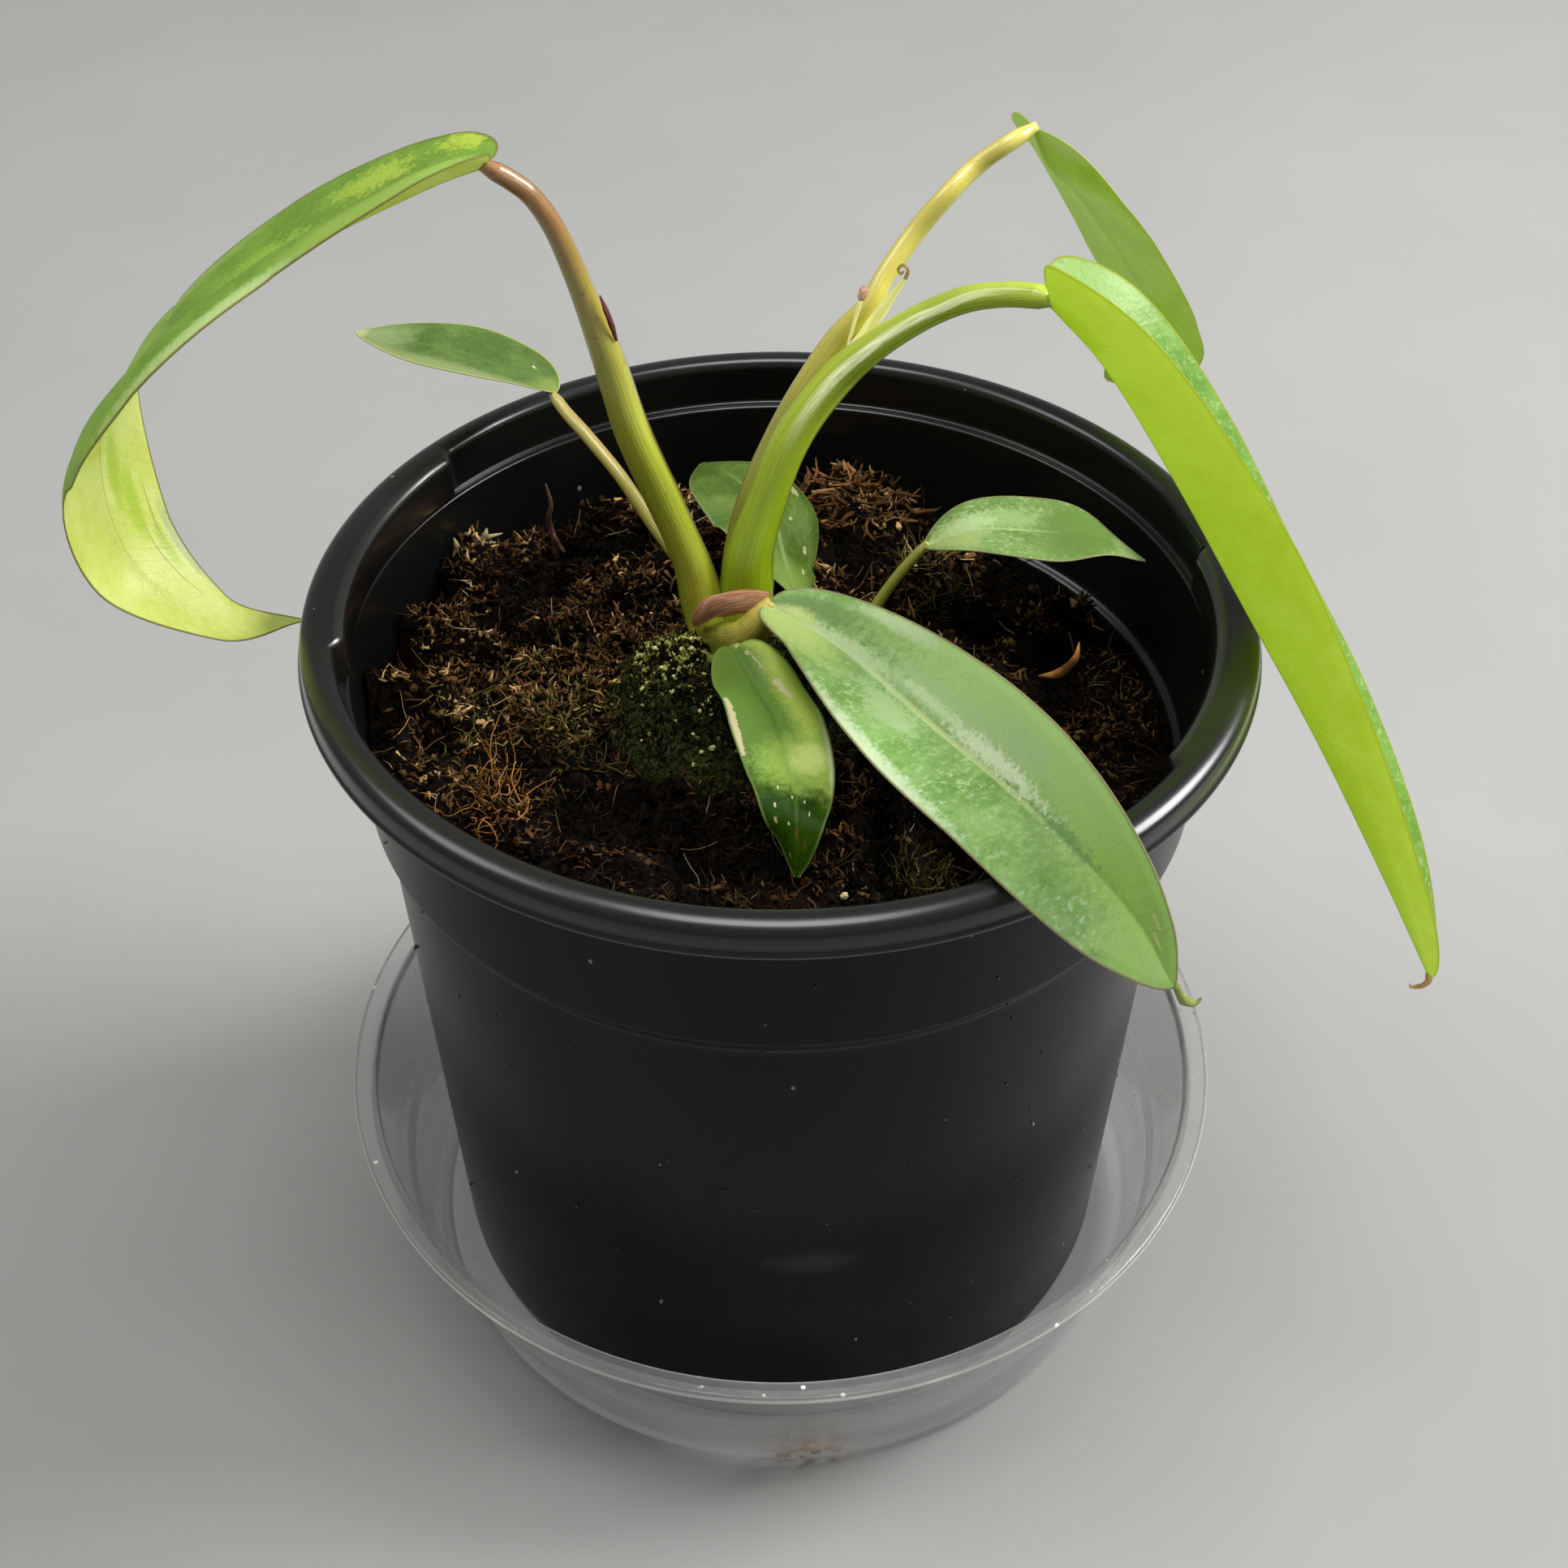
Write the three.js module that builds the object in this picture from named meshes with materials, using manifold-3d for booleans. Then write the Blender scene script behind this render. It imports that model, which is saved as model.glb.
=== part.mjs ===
// A young philodendron in a black nursery pot that stands in a clear plastic saucer.
// Millimetres, +Z up. The origin is the centre of the saucer's underside, on the pot's axis.
// The front of the plant, with the leaf that crosses the rim, faces -Y.

import * as THREE from 'three';
import { mergeVertices } from 'three/addons/utils/BufferGeometryUtils.js';
import Module from 'manifold-3d';

const wasm = await Module();
wasm.setup();

// Driving dimensions of the pot, a 12 cm nursery pot
const RIM_RADIUS = 60;
const RIM_TOP = 113.5;
const RIM_SKIRT_BOTTOM = 109.3;
const STACKING_LEDGE = 88.8;
const POT_BASE_RADIUS = 46.2;
const POT_FLOOR = 2.9;
const LUG_DEPTH = 1.5;
const LUG_CENTRES = [-12.5, 167.5];
const LUG_HALF_ANGLE = 22.5;
const DRAIN_HOLES = 8;
const DRAIN_HOLE_RADIUS = 3.5;
const DRAIN_HOLE_CIRCLE = 36;

// Driving dimensions of the saucer
const SAUCER_RADIUS = 63.2;
const SAUCER_HEIGHT = 31.8;
const SAUCER_WALL = 1;
const SAUCER_BASE_RADIUS = 52;

// Gap between pieces that touch, and the thickness of every blade
const GAP = 0.3;
const BLADE_THICKNESS = 0.6;

// The rooting plug the plant was raised in, sunk in the soil
const PLUG_CENTRE = [-6, -3];
const PLUG_RADIUS = 17;
const PLUG_TOP = 103;
const PLUG_BOTTOM = 62;
const SOIL_LEVEL = 96;

// Steps round the pot, the saucer and the soil
const ROUND_STEPS = 64;
const SOIL_STEPS = 48;
const SOIL_RINGS = 11;

const COLOURS = {
  pot: { color: 0x131517, roughness: 0.42 },
  saucer: { color: 0xc9cdcc, roughness: 0.15, transparent: true, opacity: 0.35 },
  soil: { color: 0x3a241a, roughness: 0.95 },
  moss: { color: 0x2b351c, roughness: 0.95 },
  leafTop: { color: 0x4f8a3c, roughness: 0.45 },
  leafPale: { color: 0x9dc22f, roughness: 0.5 },
  stalkGreen: { color: 0x86a42a, roughness: 0.4 },
  stalkRed: { color: 0x8a5a35, roughness: 0.4 },
  dryBrown: { color: 0x6d3b30, roughness: 0.7 },
};

// Each blade: the midrib's route, the bearing and rise in degrees of the line across the blade
// at each of those points, the half-widths left and right of the midrib, the V fold at base and
// tip in degrees, how far each half droops, how far the basal lobes reach back, and the two
// powers of the outline: belly moves the widest place, taper blunts or draws out the ends.
const BLADES = {
  blade_left: {
    midrib: [[-32.5, 7, 167.5], [-40.5, 6.5, 164.5], [-57, 6, 156], [-71, -1, 148], [-81.5, 2.5, 134.5],
      [-81, 1.5, 118], [-71, 0, 109], [-61.5, 6.5, 104]],
    across: [[60, -24], [60, -12], [62, -4], [58, 6], [60, 18], [62, 18], [78, 6], [94, -6]],
    halfWidth: [12.75, 13.5], fold: [37, -4], droop: [0.52, 0.04], lobe: 8.5, belly: 0.64, taper: 0.87,
    rows: 26, colour: 'leafTop',
  },
  blade_back: {
    midrib: [[31, 32, 160], [34, 35.5, 153], [39, 40, 146.5], [48, 45, 132.5], [52.5, 49.5, 121.5],
      [46.5, 53, 112]],
    across: [[-50, -6], [-54, -8], [-52, -12], [-50, -12], [-46, -12], [-42, -12]],
    halfWidth: [12.25, 13.5], fold: [18, -10], droop: [0.02, 0.03], lobe: 0, belly: 0.78, taper: 0.74,
    rows: 20, colour: 'leafPale',
  },
  blade_right: {
    midrib: [[31, 2.5, 152.5], [38, -1.5, 146], [47.5, -3.5, 131.5], [56.5, -7.5, 117], [67, -13.5, 100.5],
      [77.5, -19, 82], [86, -20.5, 65.5]],
    across: [[-72, -8], [-82, -4], [-86, 2], [-86, 6], [-92, 4], [-100, 6], [-104, 10]],
    halfWidth: [12.5, 12.5], fold: [38, 44], droop: [-0.04, -0.04], lobe: 14.5, belly: 0.73, taper: 0.57,
    rows: 24, colour: 'leafPale',
  },
  blade_front: {
    midrib: [[-1.5, -1, 112], [7.5, -7.5, 110.5], [17, -23, 112], [26.5, -41, 115.5], [36, -61.5, 118.5],
      [39.5, -72, 118]],
    across: [[-132, 2], [-120, 2], [-108, -6], [-94, -8], [-78, -10], [-80, -14]],
    halfWidth: [9.5, 9.75], fold: [15, 19], droop: [-0.02, -0.02], lobe: 4, belly: 0.85, taper: 0.58,
    rows: 22, colour: 'leafTop',
  },
  blade_hanging: {
    midrib: [[-5.5, -7, 110], [-3, -12, 108], [-0.5, -18, 107.5], [1.5, -26, 106], [2, -33, 104.5],
      [2, -36.5, 99]],
    across: [[170, 14], [164, 12], [160, 12], [156, 10], [150, 8], [144, 6]],
    halfWidth: [6, 6.25], fold: [18, -8], droop: [0.05, 0.05], lobe: 3, belly: 0.68, taper: 0.66,
    rows: 14, colour: 'leafTop',
  },
  blade_small_left: {
    midrib: [[-30, 33, 122], [-36, 37.5, 122.5], [-43, 40.5, 123.5], [-51, 43, 124], [-58, 44.5, 124.5]],
    across: [[92, -10], [90, -6], [88, -4], [86, -4], [84, -6]],
    halfWidth: [7.25, 7], fold: [12, 3], droop: [0.01, 0.01], lobe: 0.5, belly: 0.87, taper: 0.72,
    rows: 12, colour: 'leafTop',
  },
  blade_small_back: {
    midrib: [[2, 12, 103.5], [0.5, 19, 105], [-1.5, 25.5, 108], [-7, 31.5, 110], [-11, 38, 107.5]],
    across: [[86, -18], [68, -12], [50, -8], [36, -2], [22, 6]],
    halfWidth: [8.75, 8.5], fold: [-8, 2], droop: [0.1, 0.1], lobe: 0, belly: 0.88, taper: 0.75,
    rows: 12, colour: 'leafTop',
  },
  blade_small_right: {
    midrib: [[19, 18, 107.5], [26, 19, 109.5], [35, 18.5, 109.5], [42, 18, 109], [48.5, 17, 106]],
    across: [[-90, 6], [-84, 6], [-78, 4], [-72, 4], [-66, 2]],
    halfWidth: [8.25, 8.25], fold: [10, 1], droop: [0.03, 0.03], lobe: 0, belly: 0.87, taper: 0.77,
    rows: 12, colour: 'leafTop',
  },
};

// Each stalk: the points of its centre line, from the crown to the blade, with the radius there.
// A tip is the free end of the withered sheath, grown on the side of its stalk.
const STALKS = {
  petiole_right: {
    line: [[-5, 7.5, 100], [-4.5, 8, 107], [-4, 9, 113], [-2, 11, 119], [0.5, 13, 125.5], [3.5, 14.5, 130.5],
      [7.5, 15.5, 135.5], [11, 14.5, 139.5], [14, 13.5, 142.5], [18, 12, 146], [22, 9, 149.5],
      [26, 6.5, 151.5], [29, 4.5, 152.5], [30.5, 3, 153]],
    radius: [2.4, 2.5, 2.5, 2.5, 2.4, 2.3, 2.2, 1.9, 1.75, 1.65, 1.6, 1.5, 1.5, 1.4],
    colour: 'stalkGreen', steps: 30,
  },
  petiole_back: {
    line: [[-6.5, 8, 100], [-6, 10, 109], [-5, 12, 114], [-3, 13.5, 120.5], [0, 16, 126.5], [3, 17.5, 132],
      [7, 19.5, 138], [11, 20, 142.5], [13, 22, 145.5], [16.5, 25, 149.5], [20.5, 26.5, 154],
      [24, 29, 156.5], [27.5, 29.5, 159], [30.5, 31.5, 160]],
    radius: [1.5, 1.7, 1.8, 1.8, 1.8, 1.7, 1.5, 1.4, 1.3, 1.3, 1.25, 1.2, 1.1, 1],
    colour: 'stalkGreen', steps: 30,
    tip: { line: [[8.5, 19, 139], [9.5, 18.5, 142.5], [10.5, 18.5, 145.5]], radius: [0.7, 0.55, 0.25], steps: 4 },
  },
  petiole_left: {
    line: [[-8.5, 6.5, 100], [-10, 7, 106], [-11.5, 7.5, 113], [-14.5, 8, 121.5], [-18, 7.5, 132],
      [-20.5, 8, 142], [-23, 8, 151], [-25.5, 8, 158.5], [-28, 8, 163], [-30.5, 7.5, 165.5],
      [-32.5, 7, 167]],
    radius: [1.8, 1.9, 2.1, 2.2, 2.15, 1.95, 1.5, 1.3, 1.2, 1.15, 1.1],
    colour: 'stalkRed', steps: 28,
    tip: { line: [[-18.5, 7, 141.5], [-20, 7, 146.5], [-21, 7, 151]], radius: [0.8, 0.65, 0.25], steps: 4 },
  },
  petiole_front: {
    line: [[-7, 4.5, 101.5], [-6.5, 1, 104.5], [-4.5, -0.5, 107], [-2.5, -1, 110], [-1.5, -0.5, 111.5]],
    radius: [2.2, 2.5, 2.4, 1.8, 1.3],
    colour: 'stalkGreen', steps: 10,
  },
  petiole_hanging: {
    line: [[-8.5, 4.5, 101], [-8.5, -0.5, 103], [-7, -4.5, 106.5], [-5.5, -6.5, 109.5]],
    radius: [1, 1, 0.9, 0.8],
    colour: 'stalkGreen', steps: 8,
  },
  petiole_small_left: {
    line: [[-8.5, 8, 100.5], [-11, 10.5, 105.5], [-13, 13, 108.5], [-17, 17.5, 112], [-21, 22, 116],
      [-25.5, 27, 119], [-28.5, 30.5, 120.5], [-30, 32.5, 121.5]],
    radius: [0.95, 0.9, 0.9, 0.9, 0.9, 0.9, 0.85, 0.8],
    colour: 'stalkGreen', steps: 14,
  },
  petiole_small_back: {
    line: [[-5, 8, 101], [-2, 10.5, 102], [0.5, 11.5, 103], [2, 12, 103.5]],
    radius: [0.9, 0.9, 0.85, 0.8],
    colour: 'stalkGreen', steps: 7,
  },
  petiole_small_right: {
    line: [[6.5, 10, 88], [10.5, 14, 95.5], [13, 16, 99.5], [16, 17, 104], [19, 18, 107.5]],
    radius: [0.9, 0.85, 0.8, 0.75, 0.7],
    colour: 'stalkGreen', steps: 10,
  },
  cataphyll: {
    line: [[11.5, 18, 141.5], [13, 18.5, 143], [14.5, 18, 145.5], [15.5, 18.5, 147], [15, 18.5, 148.5],
      [14.5, 19, 147.5]],
    radius: [0.6, 0.6, 0.5, 0.35, 0.32, 0.3],
    colour: 'stalkGreen', steps: 12, sides: 6,
  },
};

// The crown: the short thick stem that all the leaves rise from, rooted in the plug
const CROWN = { line: [[-7, 6, 84], [-7, 6, 94], [-7, 6.2, 103.6]], radius: [2.6, 3.2, 3.2], steps: 8 };

// The dry brown margin of the front leaf's sheath, laid across the crown
const STRAP = {
  line: [[-10.5, 4.5, 106.5], [-10, 1.5, 109], [-6.5, 0, 111], [-4, 1, 111.5], [-2.5, 1.5, 111]],
  radius: [0.5, 0.9, 1, 0.9, 0.5], steps: 12, sides: 6,
};

const vector = (p) => new THREE.Vector3(p[0], p[1], p[2]);
const curveThrough = (points) => new THREE.CatmullRomCurve3(points, false, 'catmullrom', 0.5);
const lerp = THREE.MathUtils.lerp;
const smooth = THREE.MathUtils.smoothstep;
const radians = THREE.MathUtils.degToRad;

// Drops all but positions, joins equal vertices and removes the slivers that collapse
function weld(geometry) {
  geometry.deleteAttribute('normal');
  geometry.deleteAttribute('uv');
  const merged = mergeVertices(geometry, 1e-4);
  const old = merged.index.array;
  const kept = [];
  for (let i = 0; i < old.length; i += 3) {
    const [a, b, c] = [old[i], old[i + 1], old[i + 2]];
    if (a !== b && b !== c && c !== a) kept.push(a, b, c);
  }
  merged.setIndex(kept);
  return merged;
}

function fromArrays(positions, index) {
  const geometry = new THREE.BufferGeometry();
  geometry.setAttribute('position', new THREE.Float32BufferAttribute(positions, 3));
  geometry.setIndex(index);
  return geometry;
}

function toManifold(geometry) {
  return new wasm.Manifold(new wasm.Mesh({
    numProp: 3,
    vertProperties: new Float32Array(geometry.attributes.position.array),
    triVerts: new Uint32Array(geometry.index.array),
  }));
}

function toGeometry(manifold) {
  const mesh = manifold.getMesh();
  return fromArrays(mesh.vertProperties, [...mesh.triVerts]);
}

// Cuts a list of closed geometries out of one
function carve(geometry, cutters) {
  let solid = toManifold(geometry);
  for (const cutter of cutters) solid = solid.subtract(toManifold(cutter));
  return toGeometry(solid);
}

// Turns a profile of [radius, height] points round the Z axis
function turned(profile, steps) {
  const points = profile.map(([r, z]) => new THREE.Vector2(r, z));
  const geometry = new THREE.LatheGeometry(points, steps);
  geometry.rotateX(Math.PI / 2);
  return weld(geometry);
}

// 1 inside one of the two plain sections of the pot's upper wall, 0 in the recesses between
function lugAt(x, y) {
  const bearing = THREE.MathUtils.radToDeg(Math.atan2(y, x));
  for (const centre of LUG_CENTRES) {
    const away = Math.abs(THREE.MathUtils.euclideanModulo(bearing - centre + 180, 360) - 180);
    if (away < LUG_HALF_ANGLE) return 1;
  }
  return 0;
}

function potGeometry() {
  const recess = RIM_TOP - 7;
  const profile = [
    [0, 1.3], [44.4, 1.3], [POT_BASE_RADIUS, 2.2], [47.7, 4.2], [48.4, 7],
    [52.3, STACKING_LEDGE - 2.2], [53.9, STACKING_LEDGE], [54.7, recess - 0.6], [56.8, recess + 0.8],
    [56.9, RIM_TOP - 1.9], [58.5, RIM_TOP - 1.8], [58.8, RIM_SKIRT_BOTTOM], [RIM_RADIUS, RIM_SKIRT_BOTTOM],
    [RIM_RADIUS, RIM_TOP - 2], [59.5, RIM_TOP - 1], [58.6, RIM_TOP - 0.3], [57.4, RIM_TOP],
    [56.2, RIM_TOP - 0.2], [55.5, RIM_TOP - 0.9], [55.4, recess + 1.2], [54.3, recess],
    [52.8, STACKING_LEDGE + 3.6], [51.3, STACKING_LEDGE + 2.2], [46.6, POT_FLOOR + 3], [44.9, POT_FLOOR],
    [0, POT_FLOOR],
  ];
  const geometry = turned(profile, ROUND_STEPS);
  const position = geometry.attributes.position;
  for (let i = 0; i < position.count; i++) {
    const [x, y, z] = [position.getX(i), position.getY(i), position.getZ(i)];
    const radius = Math.hypot(x, y);
    const inRecess = z > recess + 0.5 && radius > 55 && radius < 57.2;
    if (!inRecess || !lugAt(x, y)) continue;
    const scale = (radius - LUG_DEPTH) / radius;
    position.setXY(i, x * scale, y * scale);
  }
  const holes = [];
  for (let i = 0; i < DRAIN_HOLES; i++) {
    const bearing = (i / DRAIN_HOLES) * 2 * Math.PI;
    const hole = new THREE.CylinderGeometry(DRAIN_HOLE_RADIUS, DRAIN_HOLE_RADIUS, 3, 10);
    hole.rotateX(Math.PI / 2);
    hole.translate(DRAIN_HOLE_CIRCLE * Math.cos(bearing), DRAIN_HOLE_CIRCLE * Math.sin(bearing), 2);
    holes.push(weld(hole));
  }
  return carve(geometry, holes);
}

function saucerGeometry() {
  const t = SAUCER_WALL;
  const top = SAUCER_HEIGHT;
  const profile = [
    [0, 0], [SAUCER_BASE_RADIUS, 0], [SAUCER_BASE_RADIUS + 0.9, 0.9], [56, 14], [56.9, 15.2],
    [60.5, top - 1.6], [SAUCER_RADIUS - 0.4, top - 1.4], [SAUCER_RADIUS, top - 0.8],
    [SAUCER_RADIUS - 0.4, top - 0.1], [61, top], [59.9, top - 0.7], [56.9 - t, 15.6], [56 - t, 14.4],
    [SAUCER_BASE_RADIUS - 0.3, t + 0.5], [SAUCER_BASE_RADIUS - 1.2, t], [0, t],
  ];
  return turned(profile, ROUND_STEPS);
}

// Radius of the pot's inner wall at a height, between the floor and the recess
function innerWall(z) {
  const step = STACKING_LEDGE + 2.2;
  if (z < step) return lerp(46.6, 51.3, (z - POT_FLOOR - 3) / (step - POT_FLOOR - 3));
  if (z < step + 1.4) return lerp(51.3, 52.8, (z - step) / 1.4);
  return lerp(52.8, 54.3, (z - step - 1.4) / (RIM_TOP - 7 - step - 1.4));
}

// A lumpy surface: waves of falling length laid over each other at odd angles
function lumps(x, y) {
  const coarse = Math.sin(0.31 * x + 0.17 * y) * Math.cos(0.23 * y - 0.11 * x);
  const middle = Math.sin(0.72 * x - 0.58 * y + 1.3) * Math.sin(0.66 * y + 0.41 * x);
  const fine = Math.sin(1.37 * x + 0.9 * y) * Math.cos(1.51 * y - 0.6 * x + 0.7);
  return 1.1 * coarse + 0.9 * middle + 0.6 * fine;
}

// Height of the soil: a level, four low mounds or hollows [x, y, height, spread] and the lumps
const MOUNDS = [[-26, 34, 4.5, 15], [10, 37, 5, 12], [-44, -6, 4, 16], [42, 2, -3, 20], [0, 0, 2, 24]];
function soilHeight(x, y) {
  let z = SOIL_LEVEL + lumps(x, y);
  for (const [mx, my, height, spread] of MOUNDS) {
    z += height * Math.exp(-((x - mx) ** 2 + (y - my) ** 2) / (spread * spread));
  }
  return z;
}

function soilGeometry() {
  const positions = [];
  const index = [];
  const bottom = POT_FLOOR + GAP;
  const step = STACKING_LEDGE + 2.2;
  const rings = [[0, bottom], [44.4, bottom], [innerWall(POT_FLOOR + 3) - GAP, POT_FLOOR + 3.2],
    [innerWall(step) - 1.1 * GAP, step + 0.1], [innerWall(step + 1.4) - 1.1 * GAP, step + 1.6]];
  const point = (ring, bearing) => {
    const [c, s] = [Math.cos(bearing), Math.sin(bearing)];
    if (ring < rings.length) return [rings[ring][0] * c, rings[ring][0] * s, rings[ring][1]];
    const share = 1 - (ring - rings.length) / SOIL_RINGS;
    const edge = innerWall(Math.max(soilHeight(53 * c, 53 * s), step + 2.2)) - 1.3 * GAP;
    const radius = share * edge;
    return [radius * c, radius * s, Math.max(soilHeight(radius * c, radius * s), step + 2.2)];
  };
  const count = rings.length + SOIL_RINGS + 1;
  for (let ring = 0; ring < count; ring++) {
    for (let k = 0; k <= SOIL_STEPS; k++) {
      positions.push(...point(ring, ((k % SOIL_STEPS) / SOIL_STEPS) * 2 * Math.PI));
    }
  }
  const row = SOIL_STEPS + 1;
  for (let ring = 0; ring < count - 1; ring++) {
    for (let k = 0; k < SOIL_STEPS; k++) {
      const a = ring * row + k;
      index.push(a, a + 1, a + row, a + 1, a + row + 1, a + row);
    }
  }
  return weld(fromArrays(positions, index));
}

// The plug: a slightly tapered peg with a mossy dome, grown by the clearance where it is a cutter
function plugGeometry(clearance = 0) {
  const shape = [[0, 0], [0.8, 0], [0.86, 0.05], [0.97, 0.62], [1, 0.78], [0.96, 0.86], [0.86, 0.915], [0.72, 0.95],
    [0.55, 0.975], [0.36, 0.99], [0.18, 1], [0, 1]];
  const height = PLUG_TOP - PLUG_BOTTOM;
  const profile = shape.map(([r, z], i) => {
    const down = i < 2 ? -clearance : 0;
    const up = i > 5 ? clearance : 0;
    return [r === 0 ? 0 : r * PLUG_RADIUS + clearance, PLUG_BOTTOM + z * height + down + up];
  });
  const geometry = turned(profile, 28);
  const position = geometry.attributes.position;
  for (let i = 0; i < position.count; i++) {
    const [x, y, z] = [position.getX(i), position.getY(i), position.getZ(i)];
    const lift = z > PLUG_BOTTOM + 0.9 * height ? 0.45 * lumps(1.7 * x + 3, 1.7 * y) : 0;
    position.setXYZ(i, x + PLUG_CENTRE[0], y + PLUG_CENTRE[1], z + lift);
  }
  return geometry;
}

// A round stalk along a smooth line, its radius eased from one given point to the next
function stemGeometry({ line, radius, steps, sides = 8 }, clearance = 0) {
  const curve = curveThrough(line.map(vector));
  const positions = [];
  const index = [];
  const side = new THREE.Vector3(0.35, -0.87, 0.35);
  for (let i = 0; i <= steps; i++) {
    const t = i / steps;
    const centre = curve.getPoint(t);
    const along = curve.getTangent(t);
    const u = new THREE.Vector3().crossVectors(side, along).normalize();
    const v = new THREE.Vector3().crossVectors(along, u);
    const place = t * (line.length - 1);
    const lower = Math.min(Math.floor(place), line.length - 2);
    const r = lerp(radius[lower], radius[lower + 1], place - lower) + clearance;
    if (i === 0) centre.addScaledVector(along, -clearance);
    if (i === steps) centre.addScaledVector(along, clearance);
    for (let k = 0; k < sides; k++) {
      const turn = (k / sides) * 2 * Math.PI;
      const p = centre.clone().addScaledVector(u, r * Math.cos(turn)).addScaledVector(v, r * Math.sin(turn));
      positions.push(p.x, p.y, p.z);
    }
  }
  for (let i = 0; i < steps; i++) {
    for (let k = 0; k < sides; k++) {
      const next = (k + 1) % sides;
      const [a, b, c, d] = [i * sides + k, i * sides + next, (i + 1) * sides + k, (i + 1) * sides + next];
      index.push(a, b, d, a, d, c);
    }
  }
  for (let k = 1; k < sides - 1; k++) {
    const last = steps * sides;
    index.push(0, k + 1, k, last, last + k, last + k + 1);
  }
  return fromArrays(positions, index);
}

// A stalk joined with the tip of its sheath, where it has one
function stalkGeometry(stalk, clearance = 0) {
  const stem = stemGeometry(stalk, clearance);
  if (!stalk.tip) return stem;
  const tip = stemGeometry({ ...stalk.tip, sides: 6 }, clearance);
  return toGeometry(toManifold(stem).add(toManifold(tip)));
}

// A unit vector from its compass bearing and its rise above level, in degrees
function direction([bearing, rise]) {
  const flat = Math.cos(radians(rise));
  return new THREE.Vector3(flat * Math.cos(radians(bearing)), flat * Math.sin(radians(bearing)),
    Math.sin(radians(rise)));
}

// A point of a blade's middle surface: t runs from base to tip, v from the left edge -1 to +1
function bladePoint(blade, curves, t, v, extra) {
  const [left, right] = blade.halfWidth;
  const centre = curves.midrib.getPoint(t);
  const along = curves.midrib.getTangent(t);
  const side = curves.across.getPoint(t);
  side.addScaledVector(along, -side.dot(along)).normalize();
  const up = new THREE.Vector3().crossVectors(side, along);
  const outline = Math.abs(Math.sin(Math.PI * t ** blade.belly)) ** blade.taper;
  const half = v < 0 ? left : right;
  const reach = Math.max(outline * half, 0.5) + extra;
  const across = Math.abs(v) * reach;
  const fold = radians(lerp(blade.fold[0], blade.fold[1], t));
  const droop = (v < 0 ? blade.droop[0] : blade.droop[1]) * outline * half * v * v;
  const back = blade.lobe * outline * (1 - t) ** 8 * Math.abs(v) ** 1.5;
  return centre.addScaledVector(side, Math.sign(v) * across * Math.cos(fold))
    .addScaledVector(up, across * Math.sin(fold) - droop)
    .addScaledVector(along, -back);
}

// A closed blade of even thickness: the same triangles on both faces, joined round the edge
function bladeGeometry(blade, clearance = 0) {
  const columns = 6;
  const rows = blade.rows;
  const curves = {
    midrib: curveThrough(blade.midrib.map(vector)),
    across: curveThrough(blade.across.map(direction)),
  };
  const place = (row) => 0.002 + 0.996 * (0.5 - 0.5 * Math.cos((Math.PI * row) / rows));
  const at = (row, column) => {
    const p = bladePoint(blade, curves, place(row), (2 * column) / columns - 1, clearance);
    if (row === 0) p.addScaledVector(curves.midrib.getTangent(0), -clearance);
    if (row === rows) p.addScaledVector(curves.midrib.getTangent(1), clearance);
    return p;
  };
  const width = columns + 1;
  const grid = [];
  for (let k = 0; k < (rows + 1) * width; k++) grid.push(at(Math.floor(k / width), k % width));
  const half = BLADE_THICKNESS / 2 + clearance;
  const faces = [[], []];
  for (let i = 0; i <= rows; i++) {
    for (let j = 0; j <= columns; j++) {
      const lengthways = grid[Math.min(i + 1, rows) * width + j].clone()
        .sub(grid[Math.max(i - 1, 0) * width + j]);
      const sideways = grid[i * width + Math.min(j + 1, columns)].clone()
        .sub(grid[i * width + Math.max(j - 1, 0)]);
      const normal = sideways.cross(lengthways).normalize();
      for (const [face, sign] of [[faces[0], 1], [faces[1], -1]]) {
        const p = grid[i * width + j].clone().addScaledVector(normal, sign * half);
        face.push(p.x, p.y, p.z);
      }
    }
  }
  const under = faces[0].length / 3;
  const index = [];
  for (let i = 0; i < rows; i++) {
    for (let j = 0; j < columns; j++) {
      const [a, b, c, d] = [i * width + j, i * width + j + 1, (i + 1) * width + j, (i + 1) * width + j + 1];
      index.push(a, b, c, b, d, c);
      index.push(under + a, under + c, under + b, under + b, under + c, under + d);
    }
  }
  const edge = [];
  for (let j = 0; j <= columns; j++) edge.push(j);
  for (let i = 1; i <= rows; i++) edge.push(i * width + columns);
  for (let j = columns - 1; j >= 0; j--) edge.push(rows * width + j);
  for (let i = rows - 1; i >= 1; i--) edge.push(i * width);
  edge.forEach((a, k) => {
    const b = edge[(k + 1) % edge.length];
    index.push(a, under + a, b, b, under + a, under + b);
  });
  return fromArrays([...faces[0], ...faces[1]], index);
}

// The geometries, carved so that each piece keeps its gap to the ones before it
const crown = stemGeometry(CROWN);
const crownCutter = stemGeometry(CROWN, GAP);
const bladeCutters = Object.values(BLADES).map((blade) => bladeGeometry(blade, GAP));
const stalkGeometries = {};
const stalkCutters = [];
for (const [name, stalk] of Object.entries(STALKS)) {
  stalkGeometries[name] = carve(stalkGeometry(stalk), [crownCutter, ...stalkCutters, ...bladeCutters]);
  stalkCutters.push(stalkGeometry(stalk, GAP));
}
const strap = carve(stemGeometry(STRAP), [crownCutter, ...stalkCutters, ...bladeCutters]);
const plug = carve(plugGeometry(), [crownCutter, ...stalkCutters]);
const soil = carve(soilGeometry(), [plugGeometry(GAP), ...stalkCutters]);

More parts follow.
